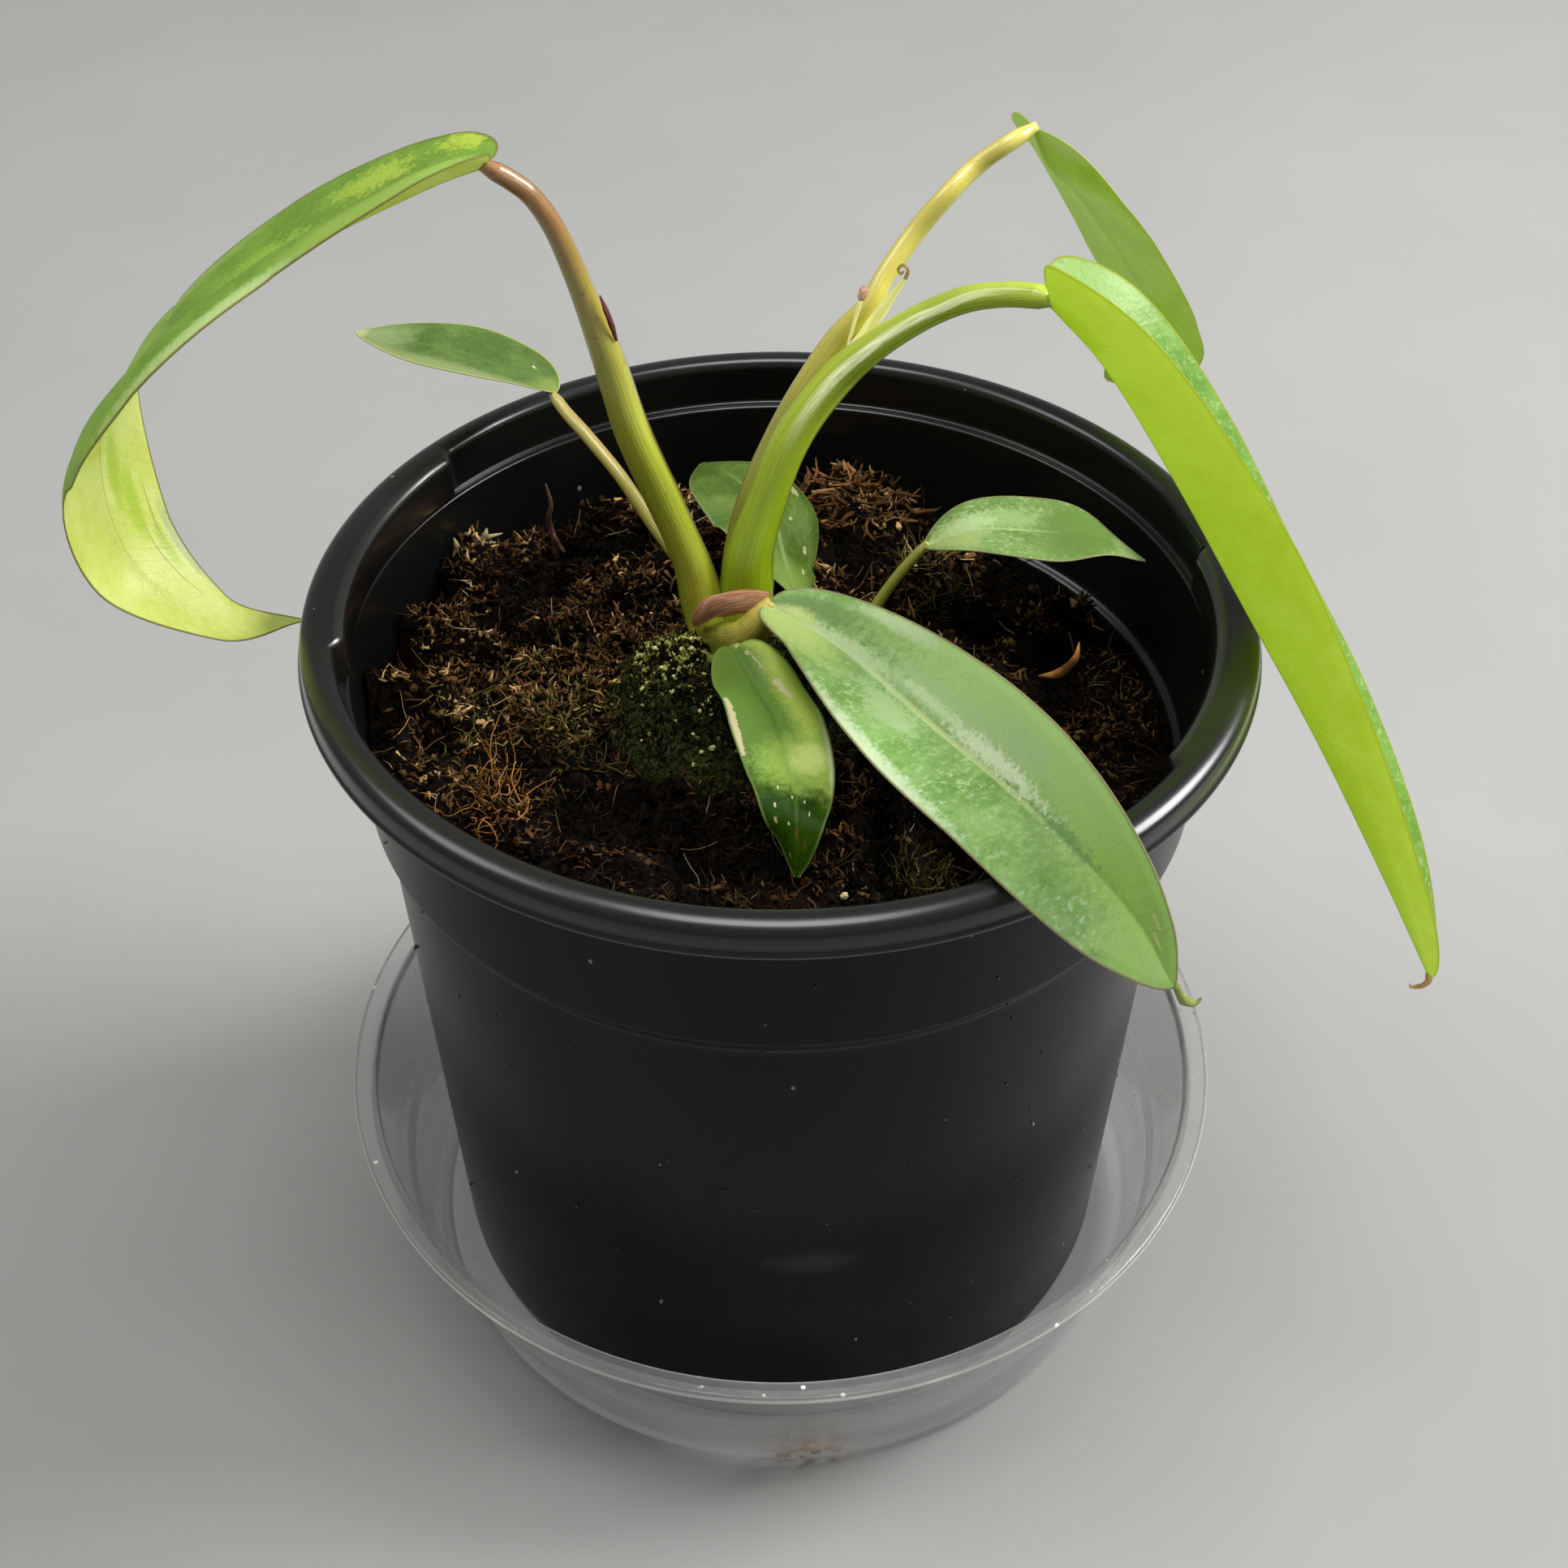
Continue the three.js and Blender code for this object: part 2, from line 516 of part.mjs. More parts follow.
const plant = new THREE.Group();
function add(name, geometry, colour) {
  const material = new THREE.MeshStandardMaterial({ metalness: 0, ...COLOURS[colour] });
  const mesh = new THREE.Mesh(geometry, material);
  mesh.name = name;
  plant.add(mesh);
}

add('saucer', saucerGeometry(), 'saucer');
add('pot', potGeometry(), 'pot');
add('soil', soil, 'soil');
add('rooting_plug', plug, 'moss');
add('crown', crown, 'stalkGreen');
for (const [name, stalk] of Object.entries(STALKS)) add(name, stalkGeometries[name], stalk.colour);
add('sheath_strap', strap, 'dryBrown');
for (const [name, blade] of Object.entries(BLADES)) add(name, bladeGeometry(blade), blade.colour);

export default plant;
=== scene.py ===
# %% [markdown]
# A young philodendron in a black nursery pot that stands in a clear saucer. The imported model
# gives each piece its place and its plain form. This lesson dresses it: the leaves, the stalks,
# the pot and the soil are worked out as surfaces with numpy, and their finishes are shader nodes.

import bpy
import numpy as np
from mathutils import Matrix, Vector


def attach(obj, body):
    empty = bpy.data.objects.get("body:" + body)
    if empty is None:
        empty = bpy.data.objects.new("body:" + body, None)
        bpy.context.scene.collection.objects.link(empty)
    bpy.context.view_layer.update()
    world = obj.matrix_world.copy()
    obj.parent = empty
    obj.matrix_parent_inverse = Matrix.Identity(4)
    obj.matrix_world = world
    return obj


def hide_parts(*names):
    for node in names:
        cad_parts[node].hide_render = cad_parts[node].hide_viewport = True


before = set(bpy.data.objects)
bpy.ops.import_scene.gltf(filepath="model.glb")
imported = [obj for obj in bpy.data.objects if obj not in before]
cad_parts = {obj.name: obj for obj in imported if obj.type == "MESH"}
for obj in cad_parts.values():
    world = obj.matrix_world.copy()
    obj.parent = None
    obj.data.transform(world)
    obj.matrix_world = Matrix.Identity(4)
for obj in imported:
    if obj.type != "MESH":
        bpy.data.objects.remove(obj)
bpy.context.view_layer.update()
MM = 0.001

# %% [markdown]
# Stalks, midribs and edges all follow smooth lines through a few chosen points. A Catmull-Rom
# curve passes through every point, so the points can be read off the real plant.


# %% A smooth line through points
def spline(points, share):
    """Places at these shares, 0 to 1, of a smooth line. On the span from P1 to P2 it is half of
    2 P1 + (P2 - P0) s + (2 P0 - 5 P1 + 4 P2 - P3) s^2 + (3 P1 - P0 - 3 P2 + P3) s^3."""
    points = np.asarray(points, float)
    ends = (2 * points[0] - points[1], 2 * points[-1] - points[-2])
    padded = np.vstack([ends[0], points, ends[1]])
    place = np.asarray(share, float) * (len(points) - 1)
    span = np.clip(np.floor(place).astype(int), 0, len(points) - 2)
    s = (place - span)[..., None]
    p0, p1, p2, p3 = (padded[span + k] for k in range(4))
    cubic = (3 * p1 - p0 - 3 * p2 + p3) * s**3
    return 0.5 * (2 * p1 + (p2 - p0) * s + (2 * p0 - 5 * p1 + 4 * p2 - p3) * s**2 + cubic)


def heading(points, share):
    """Unit direction of the smooth line, from two places a ten-thousandth apart."""
    step = 1e-4
    ahead = spline(points, np.minimum(share + step, 1))
    return unit(ahead - spline(points, np.maximum(share - step, 0)))


def unit(vectors):
    """The same directions with length 1."""
    return vectors / np.maximum(np.linalg.norm(vectors, axis=-1, keepdims=True), 1e-12)


def eased(values, low, high):
    """0 below low, 1 above high, and 3 s^2 - 2 s^3 between."""
    s = np.clip((values - low) / (high - low), 0, 1)
    return s * s * (3 - 2 * s)


print("Middle of a test line:", spline([[0, 0, 0], [1, 0, 0], [2, 1, 0]], np.array(0.5)))

# %% [markdown]
# Soil, moss and bark need relief that never repeats. Random heights on a square lattice, eased
# from one to the next, make one grain size, and several sizes laid over each other look natural.

# %% Random relief
LATTICE = np.random.default_rng(11).random((256, 256))


def relief(x, y, size):
    """Heights from 0 to 1: the lattice's four nearest values, blended by 3 s^2 - 2 s^3."""
    u, v = x / size, y / size
    i, j = np.floor(u).astype(int), np.floor(v).astype(int)
    s, t = eased(u - i, 0, 1), eased(v - j, 0, 1)
    near = (1 - s) * LATTICE[i % 256, j % 256] + s * LATTICE[(i + 1) % 256, j % 256]
    far = (1 - s) * LATTICE[i % 256, (j + 1) % 256] + s * LATTICE[(i + 1) % 256, (j + 1) % 256]
    return (1 - t) * near + t * far


print("Mean height of the relief:", round(float(relief(*np.mgrid[0:90, 0:90] * 0.7, 3.1).mean()), 3))

# %% [markdown]
# Every new piece goes through one function, which puts a surface into a mesh, turns its faces
# outwards, keeps the numbers its finish reads as attributes, and ties it to the frame. The
# object stays at the origin with its place in its mesh, so patterns don't slide.

# %% From arrays to a piece on the frame
finishes = {}


def enclosed(vertices, faces):
    """Six times the volume inside the faces: the sum of a . (b x c) over their triangles."""
    total = 0.0
    for corners in faces:
        for k in range(1, corners.shape[1] - 1):
            a, b, c = (vertices[corners[:, n]] for n in (0, k, k + 1))
            total += float(np.einsum("ij,ij->", a, np.cross(b, c)))
    return total


def piece(name, vertices, faces, finish, slot, fields=None, stands_for=(), sharp=None):
    """A mesh object from vertices in millimetres and arrays of corner numbers."""
    if enclosed(vertices, faces) < 0:
        faces = [corners[:, ::-1] for corners in faces]
    mesh = bpy.data.meshes.new(name)
    mesh.from_pydata(vertices * MM, [], [row for corners in faces for row in corners.tolist()])
    for field, values in (fields or {}).items():
        attribute = mesh.attributes.new(field, "FLOAT", "POINT")
        attribute.data.foreach_set("value", np.asarray(values, np.float32).ravel())
    mesh.shade_smooth()
    if sharp:
        mesh.set_sharp_from_angle(angle=np.radians(sharp))
    mesh.materials.append(finishes[finish])
    made = bpy.data.objects.new(name, mesh)
    bpy.context.scene.collection.objects.link(made)
    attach(made, "root")
    if stands_for:
        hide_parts(*stands_for)
    triangles = sum(len(corners) * (corners.shape[1] - 2) for corners in faces)
    print(f"{name}: {len(vertices)} points, {triangles} triangles")
    return made


def net(rows, columns, closed=False, first=0):
    """Four-cornered faces between neighbouring rows of a grid; closed joins its two sides."""
    index = first + np.arange(rows * columns).reshape(rows, columns)
    beside = np.roll(index, -1, axis=1) if closed else index[:, 1:]
    here = index if closed else index[:, :-1]
    corners = (here[:-1], beside[:-1], beside[1:], here[1:])
    return np.stack([c.ravel() for c in corners], axis=1)


# %% [markdown]
# A finish is a small program of shader nodes. Written as Python sums it stays readable: Field
# wraps one socket and its operators add Math nodes, and Paint.node makes every other node.

# %% Sockets that can be added and multiplied
class Field:
    """A number that varies over a surface: one output socket of a finish."""

    def __init__(self, paint, socket):
        self.paint = paint
        self.socket = socket

    def calc(self, operation, *others):
        values = {n: value for n, value in enumerate((self, *others))}
        return self.paint.node("ShaderNodeMath", {"operation": operation}, values)

    def __add__(self, other):
        return self.calc("ADD", other)

    def __mul__(self, other):
        return self.calc("MULTIPLY", other)

    def __sub__(self, other):
        return self.calc("SUBTRACT", other)

    def __rsub__(self, other):
        return (self * -1) + other

    def __pow__(self, other):
        return self.calc("POWER", other)

    def __abs__(self):
        return self.calc("ABSOLUTE")

    __radd__ = __add__
    __rmul__ = __mul__


class Paint:
    """The node tree of one finish."""

    def __init__(self, name):
        self.material = bpy.data.materials.new(name)
        self.material.use_nodes = True
        self.tree = self.material.node_tree
        self.tree.nodes.clear()
        finishes[name] = self.material

    def node(self, kind, settings=None, inputs=None, output=0):
        """Adds a node: its settings first, then the values or links of its sockets."""
        made = self.tree.nodes.new(kind)
        for key, value in (settings or {}).items():
            setattr(made, key, value)
        for key, value in (inputs or {}).items():
            if isinstance(value, Field):
                self.tree.links.new(value.socket, made.inputs[key])
            else:
                made.inputs[key].default_value = value
        return Field(self, made.outputs[output]) if made.outputs else made

    def place(self):
        """Where a point of the surface is, in metres of the object's own frame."""
        return self.node("ShaderNodeTexCoord", output=3)

    def attribute(self, name):
        return self.node("ShaderNodeAttribute", {"attribute_name": name}, output=2)

    def stretch(self, vector, scale):
        """The vector with each of its parts multiplied."""
        settings = {"operation": "MULTIPLY"}
        return self.node("ShaderNodeVectorMath", settings, {0: vector, 1: scale})

    def vector(self, x, y, z):
        return self.node("ShaderNodeCombineXYZ", inputs={0: x, 1: y, 2: z})

    def noise(self, vector, scale, detail=3.0, roughness=0.55):
        values = {"Vector": vector, "Scale": scale, "Detail": detail, "Roughness": roughness}
        return self.node("ShaderNodeTexNoise", None, values)

    def step(self, value, low, high):
        """0 below low, 1 above high and eased between."""
        values = {"Value": value, "From Min": low, "From Max": high}
        return self.node("ShaderNodeMapRange", {"interpolation_type": "SMOOTHSTEP"}, values)

    def mix(self, factor, first, second, blend="MIX"):
        """From the first colour at 0 to the second at 1."""
        settings = {"data_type": "RGBA", "blend_type": blend}
        return self.node("ShaderNodeMix", settings, {0: factor, 6: first, 7: second}, output=2)

    def specks(self, vector, cell, size, share):
        """Small spots: in each cell of a Voronoi pattern, a spot of that size where its draw is low."""
        values = {"Vector": vector, "Scale": 1 / cell}
        near = self.node("ShaderNodeTexVoronoi", None, values)
        draw = self.node("ShaderNodeTexVoronoi", None, values, output=1)
        red = self.node("ShaderNodeSeparateColor", None, {0: draw})
        return (1 - self.step(near, size * 0.6, size)) * (1 - self.step(red, share - 0.01, share))

    def bump(self, height, distance, strength=1.0, below=None):
        values = {"Height": height, "Distance": distance, "Strength": strength}
        if below:
            values["Normal"] = below
        return self.node("ShaderNodeBump", None, values)

    def shader(self, values):
        return self.node("ShaderNodeBsdfPrincipled", None, values)

    def finish(self, surface):
        self.node("ShaderNodeOutputMaterial", None, {"Surface": surface})
        return self.material


def shade(red, green, blue):
    """A colour as a screen shows it, 0 to 255, in the linear light that shaders count in."""
    share = np.array([red, green, blue]) / 255
    linear = np.where(share <= 0.04045, share / 12.92, ((share + 0.055) / 1.055) ** 2.4)
    return (*linear.tolist(), 1.0)


print("Mid grey in linear light:", round(shade(128, 128, 128)[0], 3))

# %% [markdown]
# The camera comes first, since every other choice is judged through it. It stands about 0.3 m
# from the plant and looks down on the pot. Its pitch, height and angle of view were solved from
# the ellipses that the rim and the saucer make in the picture.

# %% Camera
CAMERA_PLACE = (0.0005, -0.2265, 0.28165)
CAMERA_PITCH = 41.476
VIEW_ANGLE = 38.466

camera_data = bpy.data.cameras.new("camera")
camera_data.angle = np.radians(VIEW_ANGLE)
camera_data.clip_start = 0.01
camera = bpy.data.objects.new("camera", camera_data)
camera.location = CAMERA_PLACE
camera.rotation_euler = (np.radians(90 - CAMERA_PITCH), 0, 0)
bpy.context.scene.collection.objects.link(camera)
bpy.context.scene.camera = camera
print("Lens in millimetres:", round(camera_data.lens, 2))

# %% [markdown]
# A plain pale floor and soft studio light: a broad lamp on the right, a weaker one on the left, a
# small one above, and an even pale surround. A thing of black plastic shows mostly what it
# mirrors, so the lamps stand where the rim and the wall of the real pot shine.

# %% Floor, lamps and surround
FLOOR_HALF = 3000.0
floor_paint = Paint("floor_grey")
floor_place = floor_paint.place()
cloudy = floor_paint.noise(floor_place, 9.0, 4.0)
floor_colour = floor_paint.mix(cloudy, shade(153, 153, 151), shade(165, 165, 163))
floor_paint.finish(floor_paint.shader({"Base Color": floor_colour, "Roughness": 0.9}))

floor_mesh = bpy.data.meshes.new("floor")
corners = np.array([[-1, -1, 0], [1, -1, 0], [1, 1, 0], [-1, 1, 0]]) * FLOOR_HALF * MM
floor_mesh.from_pydata(corners, [], [[0, 1, 2, 3]])
floor_mesh.materials.append(finishes["floor_grey"])
floor = bpy.data.objects.new("floor", floor_mesh)
bpy.context.scene.collection.objects.link(floor)

AIM = np.array([0, 0, 0.09])


def lamp(name, place, size, power, colour=(1.0, 1.0, 1.0)):
    """A square soft lamp that faces the plant."""
    data = bpy.data.lights.new(name, "AREA")
    data.shape = "SQUARE"
    data.size = size
    data.energy = power
    data.color = colour
    made = bpy.data.objects.new(name, data)
    made.location = place
    to_plant = Vector(AIM - np.array(place))
    made.rotation_euler = to_plant.to_track_quat("-Z", "Y").to_euler()
    bpy.context.scene.collection.objects.link(made)
    return made


lamp("lamp_right", (0.8, 0.14, 0.72), 0.42, 13.0)
lamp("lamp_left", (-0.6, 0.1, 0.9), 0.4, 2.4)
lamp("lamp_above", (-0.02, 0.0, 1.2), 0.5, 6.8)
world = bpy.data.worlds.new("surround")
world.use_nodes = True
world.node_tree.nodes["Background"].inputs["Color"].default_value = (1.0, 0.99, 0.97, 1.0)
world.node_tree.nodes["Background"].inputs["Strength"].default_value = 0.24
bpy.context.scene.world = world
bpy.context.scene.view_settings.view_transform = "Standard"

# %% [markdown]
# The pot is moulded in one piece, so its wall is one outline turned round the axis. Moulded
# plastic has no sharp corners: each corner of the outline is replaced with a short arc before
# it is turned. The upper wall steps out in two wide recesses, with a plain section between them.

# %% A rounded outline, turned
def rounded(outline, radius, steps=4):
    """Each inner corner becomes a quadratic curve between points a short way along its two sides."""
    outline = np.asarray(outline, float)
    points = [outline[:1]]
    share = np.linspace(0, 1, steps)[:, None]
    for before, corner, after in zip(outline[:-2], outline[1:-1], outline[2:]):
        reach = [min(radius, 0.4 * np.linalg.norm(end - corner)) for end in (before, after)]
        start = corner + unit(before - corner) * reach[0]
        stop = corner + unit(after - corner) * reach[1]
        arc = (1 - share) ** 2 * start + 2 * share * (1 - share) * corner + share**2 * stop
        points.append(arc)
    points.append(outline[-1:])
    return np.vstack(points)


def turned(outline, steps):
    """Rings of the outline's [radius, height] points round the Z axis, with a point at each end."""
    bearing = np.linspace(0, 2 * np.pi, steps, endpoint=False)
    radius, height = outline[1:-1, :1], outline[1:-1, 1:]
    rings = [radius * np.cos(bearing), radius * np.sin(bearing), height + 0 * bearing]
    vertices = np.stack(rings, axis=-1).reshape(-1, 3)
    count = len(outline) - 2
    poles = np.array([[0, 0, outline[0, 1]], [0, 0, outline[-1, 1]]])
    first, last = len(vertices), len(vertices) + 1
    here = np.arange(steps)
    beside = np.roll(here, -1)
    top = (count - 1) * steps
    start = np.stack([np.full(steps, first), beside, here], axis=1)
    end = np.stack([np.full(steps, last), top + here, top + beside], axis=1)
    return np.vstack([vertices, poles]), [net(count, steps, closed=True), start, end]


# %% The pot's outline and its recesses
RIM_TOP = 113.5
RECESS_BOTTOM = RIM_TOP - 7
LEDGE = 88.8
FLOOR_TOP = 2.9
LUG_DEPTH = 1.5
LUG_CENTRES = (-12.5, 167.5)
LUG_HALF_ANGLE = 22.5
POT_OUTLINE = [
    [0, 1.3], [44.4, 1.3], [46.2, 2.2], [47.7, 4.2], [48.4, 7], [52.3, LEDGE - 2.2], [53.9, LEDGE],
    [54.7, RECESS_BOTTOM - 0.6], [56.8, RECESS_BOTTOM + 0.8], [56.9, RIM_TOP - 1.9],
    [58.5, RIM_TOP - 1.8], [58.8, RIM_TOP - 4.2], [60, RIM_TOP - 4.2], [60.1, RIM_TOP - 3.6],
    [59.7, RIM_TOP - 3.2], [59.7, RIM_TOP - 2],
    [59.5, RIM_TOP - 1], [58.6, RIM_TOP - 0.3], [57.4, RIM_TOP], [56.2, RIM_TOP - 0.2],
    [55.5, RIM_TOP - 0.9], [55.4, RECESS_BOTTOM + 0.5], [55.05, RECESS_BOTTOM + 0.36],
    [54.95, RECESS_BOTTOM + 0.12], [54.7, RECESS_BOTTOM + 0.12], [54.3, RECESS_BOTTOM - 0.05],
    [54.25, RECESS_BOTTOM - 0.5], [52.8, LEDGE + 3.6], [52.5, LEDGE + 2.7], [51.3, LEDGE + 2.2],
    [46.6, FLOOR_TOP + 3], [44.9, FLOOR_TOP], [0, FLOOR_TOP],
]
ROUND_STEPS = 400


def lug(vertices):
    """1 on the plain sections of the upper wall, 0 in the recesses, eased over 0.8 degrees."""
    bearing = np.degrees(np.arctan2(vertices[:, 1], vertices[:, 0]))
    share = np.zeros(len(vertices))
    for centre in LUG_CENTRES:
        away = np.abs((bearing - centre + 180) % 360 - 180)
        share = np.maximum(share, 1 - eased(away, LUG_HALF_ANGLE - 0.4, LUG_HALF_ANGLE + 0.4))
    return share


def pot_surface():
    """The turned outline; between the recess's floor and the lip it moves in where a lug is."""
    vertices, faces = turned(rounded(POT_OUTLINE, 0.6), ROUND_STEPS)
    radius = np.hypot(vertices[:, 0], vertices[:, 1])
    height = vertices[:, 2]
    moves = eased(height, RECESS_BOTTOM + 0.2, RECESS_BOTTOM + 0.9) * (radius > 54.6) * (radius < 57.3)
    vertices[:, :2] *= (1 - moves * lug(vertices) * LUG_DEPTH / np.maximum(radius, 1))[:, None]
    return vertices, faces


pot_vertices, pot_faces = pot_surface()
print("Pot is", np.ptp(pot_vertices, axis=0).round(1), "mm")

# %% [markdown]
# The plastic is black and satin. It has a fine moulded grain, faint cloudy wear, and pale specks
# of dust and potting mix on the wall. On black plastic the lamps do most of the work, so the
# roughness varies more than the colour.
# A pale patch on the wall is a painted highlight; the rim and the inside are painted lighter, a painted
# sheen.

# %% Black pot plastic
WALL_LEAN = 0.1088
WALL_MIDDLE = 42.9
PAINTED_WALL_HIGHLIGHT = (0.0038, -0.0497, 0.043)


def pot_finish():
    paint = Paint("pot_black")
    place = paint.place()
    wear = paint.noise(place, 30.0, 4.0)
    grain = paint.noise(place, 2600.0, 2.0)
    dust = paint.specks(paint.stretch(place, (1, 1, 0.7)), 0.0075, 0.046, 0.22)
    fine_dust = paint.specks(place, 0.0029, 0.056, 0.09)
    black = paint.mix(paint.step(wear, 0.35, 0.7), shade(2, 6, 9), shade(8, 12, 16))
    dusty = paint.mix(dust * 0.85, black, shade(176, 150, 118))
    colour = paint.mix(fine_dust * 0.7, dusty, shade(150, 150, 146))
    # A soft pale patch on the front of the wall: a painted highlight.
    apart = paint.node("ShaderNodeVectorMath", {"operation": "SUBTRACT"}, {0: place, 1: PAINTED_WALL_HIGHLIGHT})
    apart = paint.stretch(apart, (1, 1, 2.6))
    off_painted_wall_highlight = paint.node("ShaderNodeVectorMath", {"operation": "LENGTH"}, {0: apart}, output=1)
    painted_wall_highlight = 1 - paint.step(off_painted_wall_highlight, 0.001, 0.009)
    colour = paint.mix(painted_wall_highlight * wear * 0.5, colour, shade(84, 84, 82))
    roughness = wear * 0.12 + 0.2 + dust * 0.3
    normal = paint.bump(grain, 0.00004, 0.6)
    height = paint.node("ShaderNodeSeparateXYZ", None, {0: place}, output=2)
    flat = paint.stretch(place, (1, 1, 0))
    radius = paint.node("ShaderNodeVectorMath", {"operation": "LENGTH"}, {0: flat}, output=1)
    wall = [(WALL_MIDDLE - 0.3) * MM, (WALL_MIDDLE + 0.3) * MM]
    inside = 1 - paint.step(radius - height * WALL_LEAN, *wall)
    inside = inside * paint.step(height, (LEDGE - 4) * MM, LEDGE * MM)
    rim = paint.step(height, (RECESS_BOTTOM - 0.5) * MM, (RECESS_BOTTOM + 1) * MM)
    shine = rim + inside
    # The rim and the inside are painted a little lighter than the wall: a painted sheen.
    colour = paint.mix(shine * 0.8, colour, shade(22, 23, 22), "LIGHTEN")
    values = {"Base Color": colour, "Roughness": roughness, "Normal": normal}
    values["Specular IOR Level"] = 0.1
    values.update({"Coat Weight": shine * 0.9, "Coat Roughness": 0.25})
    paint.finish(paint.shader(values))


pot_finish()
pot = piece("pot_shell", pot_vertices, pot_faces, "pot_black", "pot_plastic", stands_for=["pot"], sharp=50)

# %% Drain holes through the floor
DRAIN_HOLES = 8
DRAIN_CIRCLE = 36.0
DRAIN_RADIUS = 3.5


def drill(target, centres, radius, low, high):
    """Cuts plain round holes with one Boolean, keeps the result and removes the cutter."""
    cutter_vertices, cutter_faces = [], []
    outline = np.array([[0, low], [radius, low], [radius, high], [0, high]])
    vertices, faces = turned(outline, 24)
    for n, centre in enumerate(centres):
        cutter_vertices.append(vertices + np.array([*centre, 0]))
        cutter_faces += [(corners[:, ::-1] + n * len(vertices)).tolist() for corners in faces]
    mesh = bpy.data.meshes.new("drill")
    rows = [row for group in cutter_faces for row in group]
    mesh.from_pydata(np.vstack(cutter_vertices) * MM, [], rows)
    cutter = bpy.data.objects.new("drill", mesh)
    bpy.context.scene.collection.objects.link(cutter)
    cut = target.modifiers.new("holes", "BOOLEAN")
    cut.object = cutter
    cut.solver = "EXACT"
    cut.operation = "DIFFERENCE"
    drilled = target.evaluated_get(bpy.context.evaluated_depsgraph_get())
    target.data = bpy.data.meshes.new_from_object(drilled)
    target.modifiers.clear()
    bpy.data.objects.remove(cutter)


bearings = np.arange(DRAIN_HOLES) * 2 * np.pi / DRAIN_HOLES
hole_centres = DRAIN_CIRCLE * np.stack([np.cos(bearings), np.sin(bearings)], axis=1)
drill(pot, hole_centres, DRAIN_RADIUS, 0.5, FLOOR_TOP + 1)
print("Pot now has", len(pot.data.polygons), "faces")

# %% [markdown]
# The saucer is thin clear plastic. Seen straight on it hardly shows; seen along its surface it
# mirrors, and its flange and foot look milky. Real glass shading would cast a dark shadow, so
# a Transparent shader is mixed in, and Fresnel and the angle decide how much film shows.
# Glints on the flange and white lines along its lip are painted highlights.

# %% Clear saucer
SAUCER_HEIGHT = 31.8
SAUCER_RADIUS = 63.2
SAUCER_WALL = 1.0
SAUCER_STEPS = 288
SAUCER_OUTLINE = [
    [0, 0], [52, 0], [52.9, 0.9], [56, 14], [56.9, 15.2], [60.5, SAUCER_HEIGHT - 1.6],
    [SAUCER_RADIUS - 0.4, SAUCER_HEIGHT - 1.4], [SAUCER_RADIUS, SAUCER_HEIGHT - 0.8],
    [SAUCER_RADIUS - 0.4, SAUCER_HEIGHT - 0.1], [61, SAUCER_HEIGHT], [59.9, SAUCER_HEIGHT - 0.7],
    [56.9 - SAUCER_WALL, 15.6], [56 - SAUCER_WALL, 14.4], [51.7, SAUCER_WALL + 0.5],
    [50.8, SAUCER_WALL], [0, SAUCER_WALL],
]


STAIN_PLACE = (0.0042, -0.0535, 0.003)


def saucer_finish():
    paint = Paint("saucer_clear")
    place = paint.place()
    facing = paint.node("ShaderNodeLayerWeight", None, {"Blend": 0.5}, output=1)
    height = paint.node("ShaderNodeSeparateXYZ", None, {0: place}, output=2)
    flat = paint.stretch(place, (1, 1, 0))
    radius = paint.node("ShaderNodeVectorMath", {"operation": "LENGTH"}, {0: flat}, output=1)
    flange = paint.step(height, (SAUCER_HEIGHT - 2.2) * MM, (SAUCER_HEIGHT - 1.2) * MM)
    smear = paint.step(paint.noise(paint.stretch(place, (1, 1, 0.35)), 60.0, 5.0), 0.45, 0.75)
    # Tiny bright spots, most of them on the flange: painted glints.
    painted_glints = paint.specks(place, 0.0026, 0.16, 0.24) * (flange * 0.85 + 0.15)
    edge_on = facing * facing * facing
    lip = paint.step(radius, (SAUCER_RADIUS - 0.3) * MM, (SAUCER_RADIUS - 0.15) * MM)
    inner_lip = flange * (1 - paint.step(radius, 60.1 * MM, 60.35 * MM))
    distance = {"operation": "DISTANCE"}
    off_stain = paint.node("ShaderNodeVectorMath", distance, {0: place, 1: STAIN_PLACE}, output=1)
    blotch = paint.step(paint.noise(place, 420.0, 4.0), 0.46, 0.6)
    stain = (1 - paint.step(off_stain, 0.003, 0.009)) * blotch
    # White lines at the outer edge of the lip and the inner edge of the flange: painted highlights.
    lines = (lip + inner_lip) * (smear * 0.4 + 0.5)
    milk = edge_on * 0.16 + 0.015 + flange * 0.06 + lines + smear * 0.05 + painted_glints * 1.4 + stain * 0.7
    film_colour = paint.mix(painted_glints, shade(214, 214, 211), shade(252, 252, 250))
    film_colour = paint.mix(stain, film_colour, shade(190, 160, 132))
    film = paint.shader({"Base Color": film_colour, "Roughness": 0.25})
    clear = paint.node("ShaderNodeBsdfTransparent", None, {"Color": (0.985, 0.987, 0.987, 1)})
    body = paint.node("ShaderNodeMixShader", None, {0: milk, 1: clear, 2: film})
    gloss = paint.node("ShaderNodeBsdfGlossy", None, {"Color": (1, 1, 1, 1), "Roughness": 0.05})
    ripple = paint.bump(paint.noise(place, 70.0, 2.0), 0.0006, 0.5)
    over_floor = paint.step(height, 0.0012, 0.004) * 0.9 + 0.1
    mirror = paint.node("ShaderNodeFresnel", None, {"IOR": 1.45, "Normal": ripple}) * 0.5 * over_floor
    paint.finish(paint.node("ShaderNodeMixShader", None, {0: mirror, 1: body, 2: gloss}))


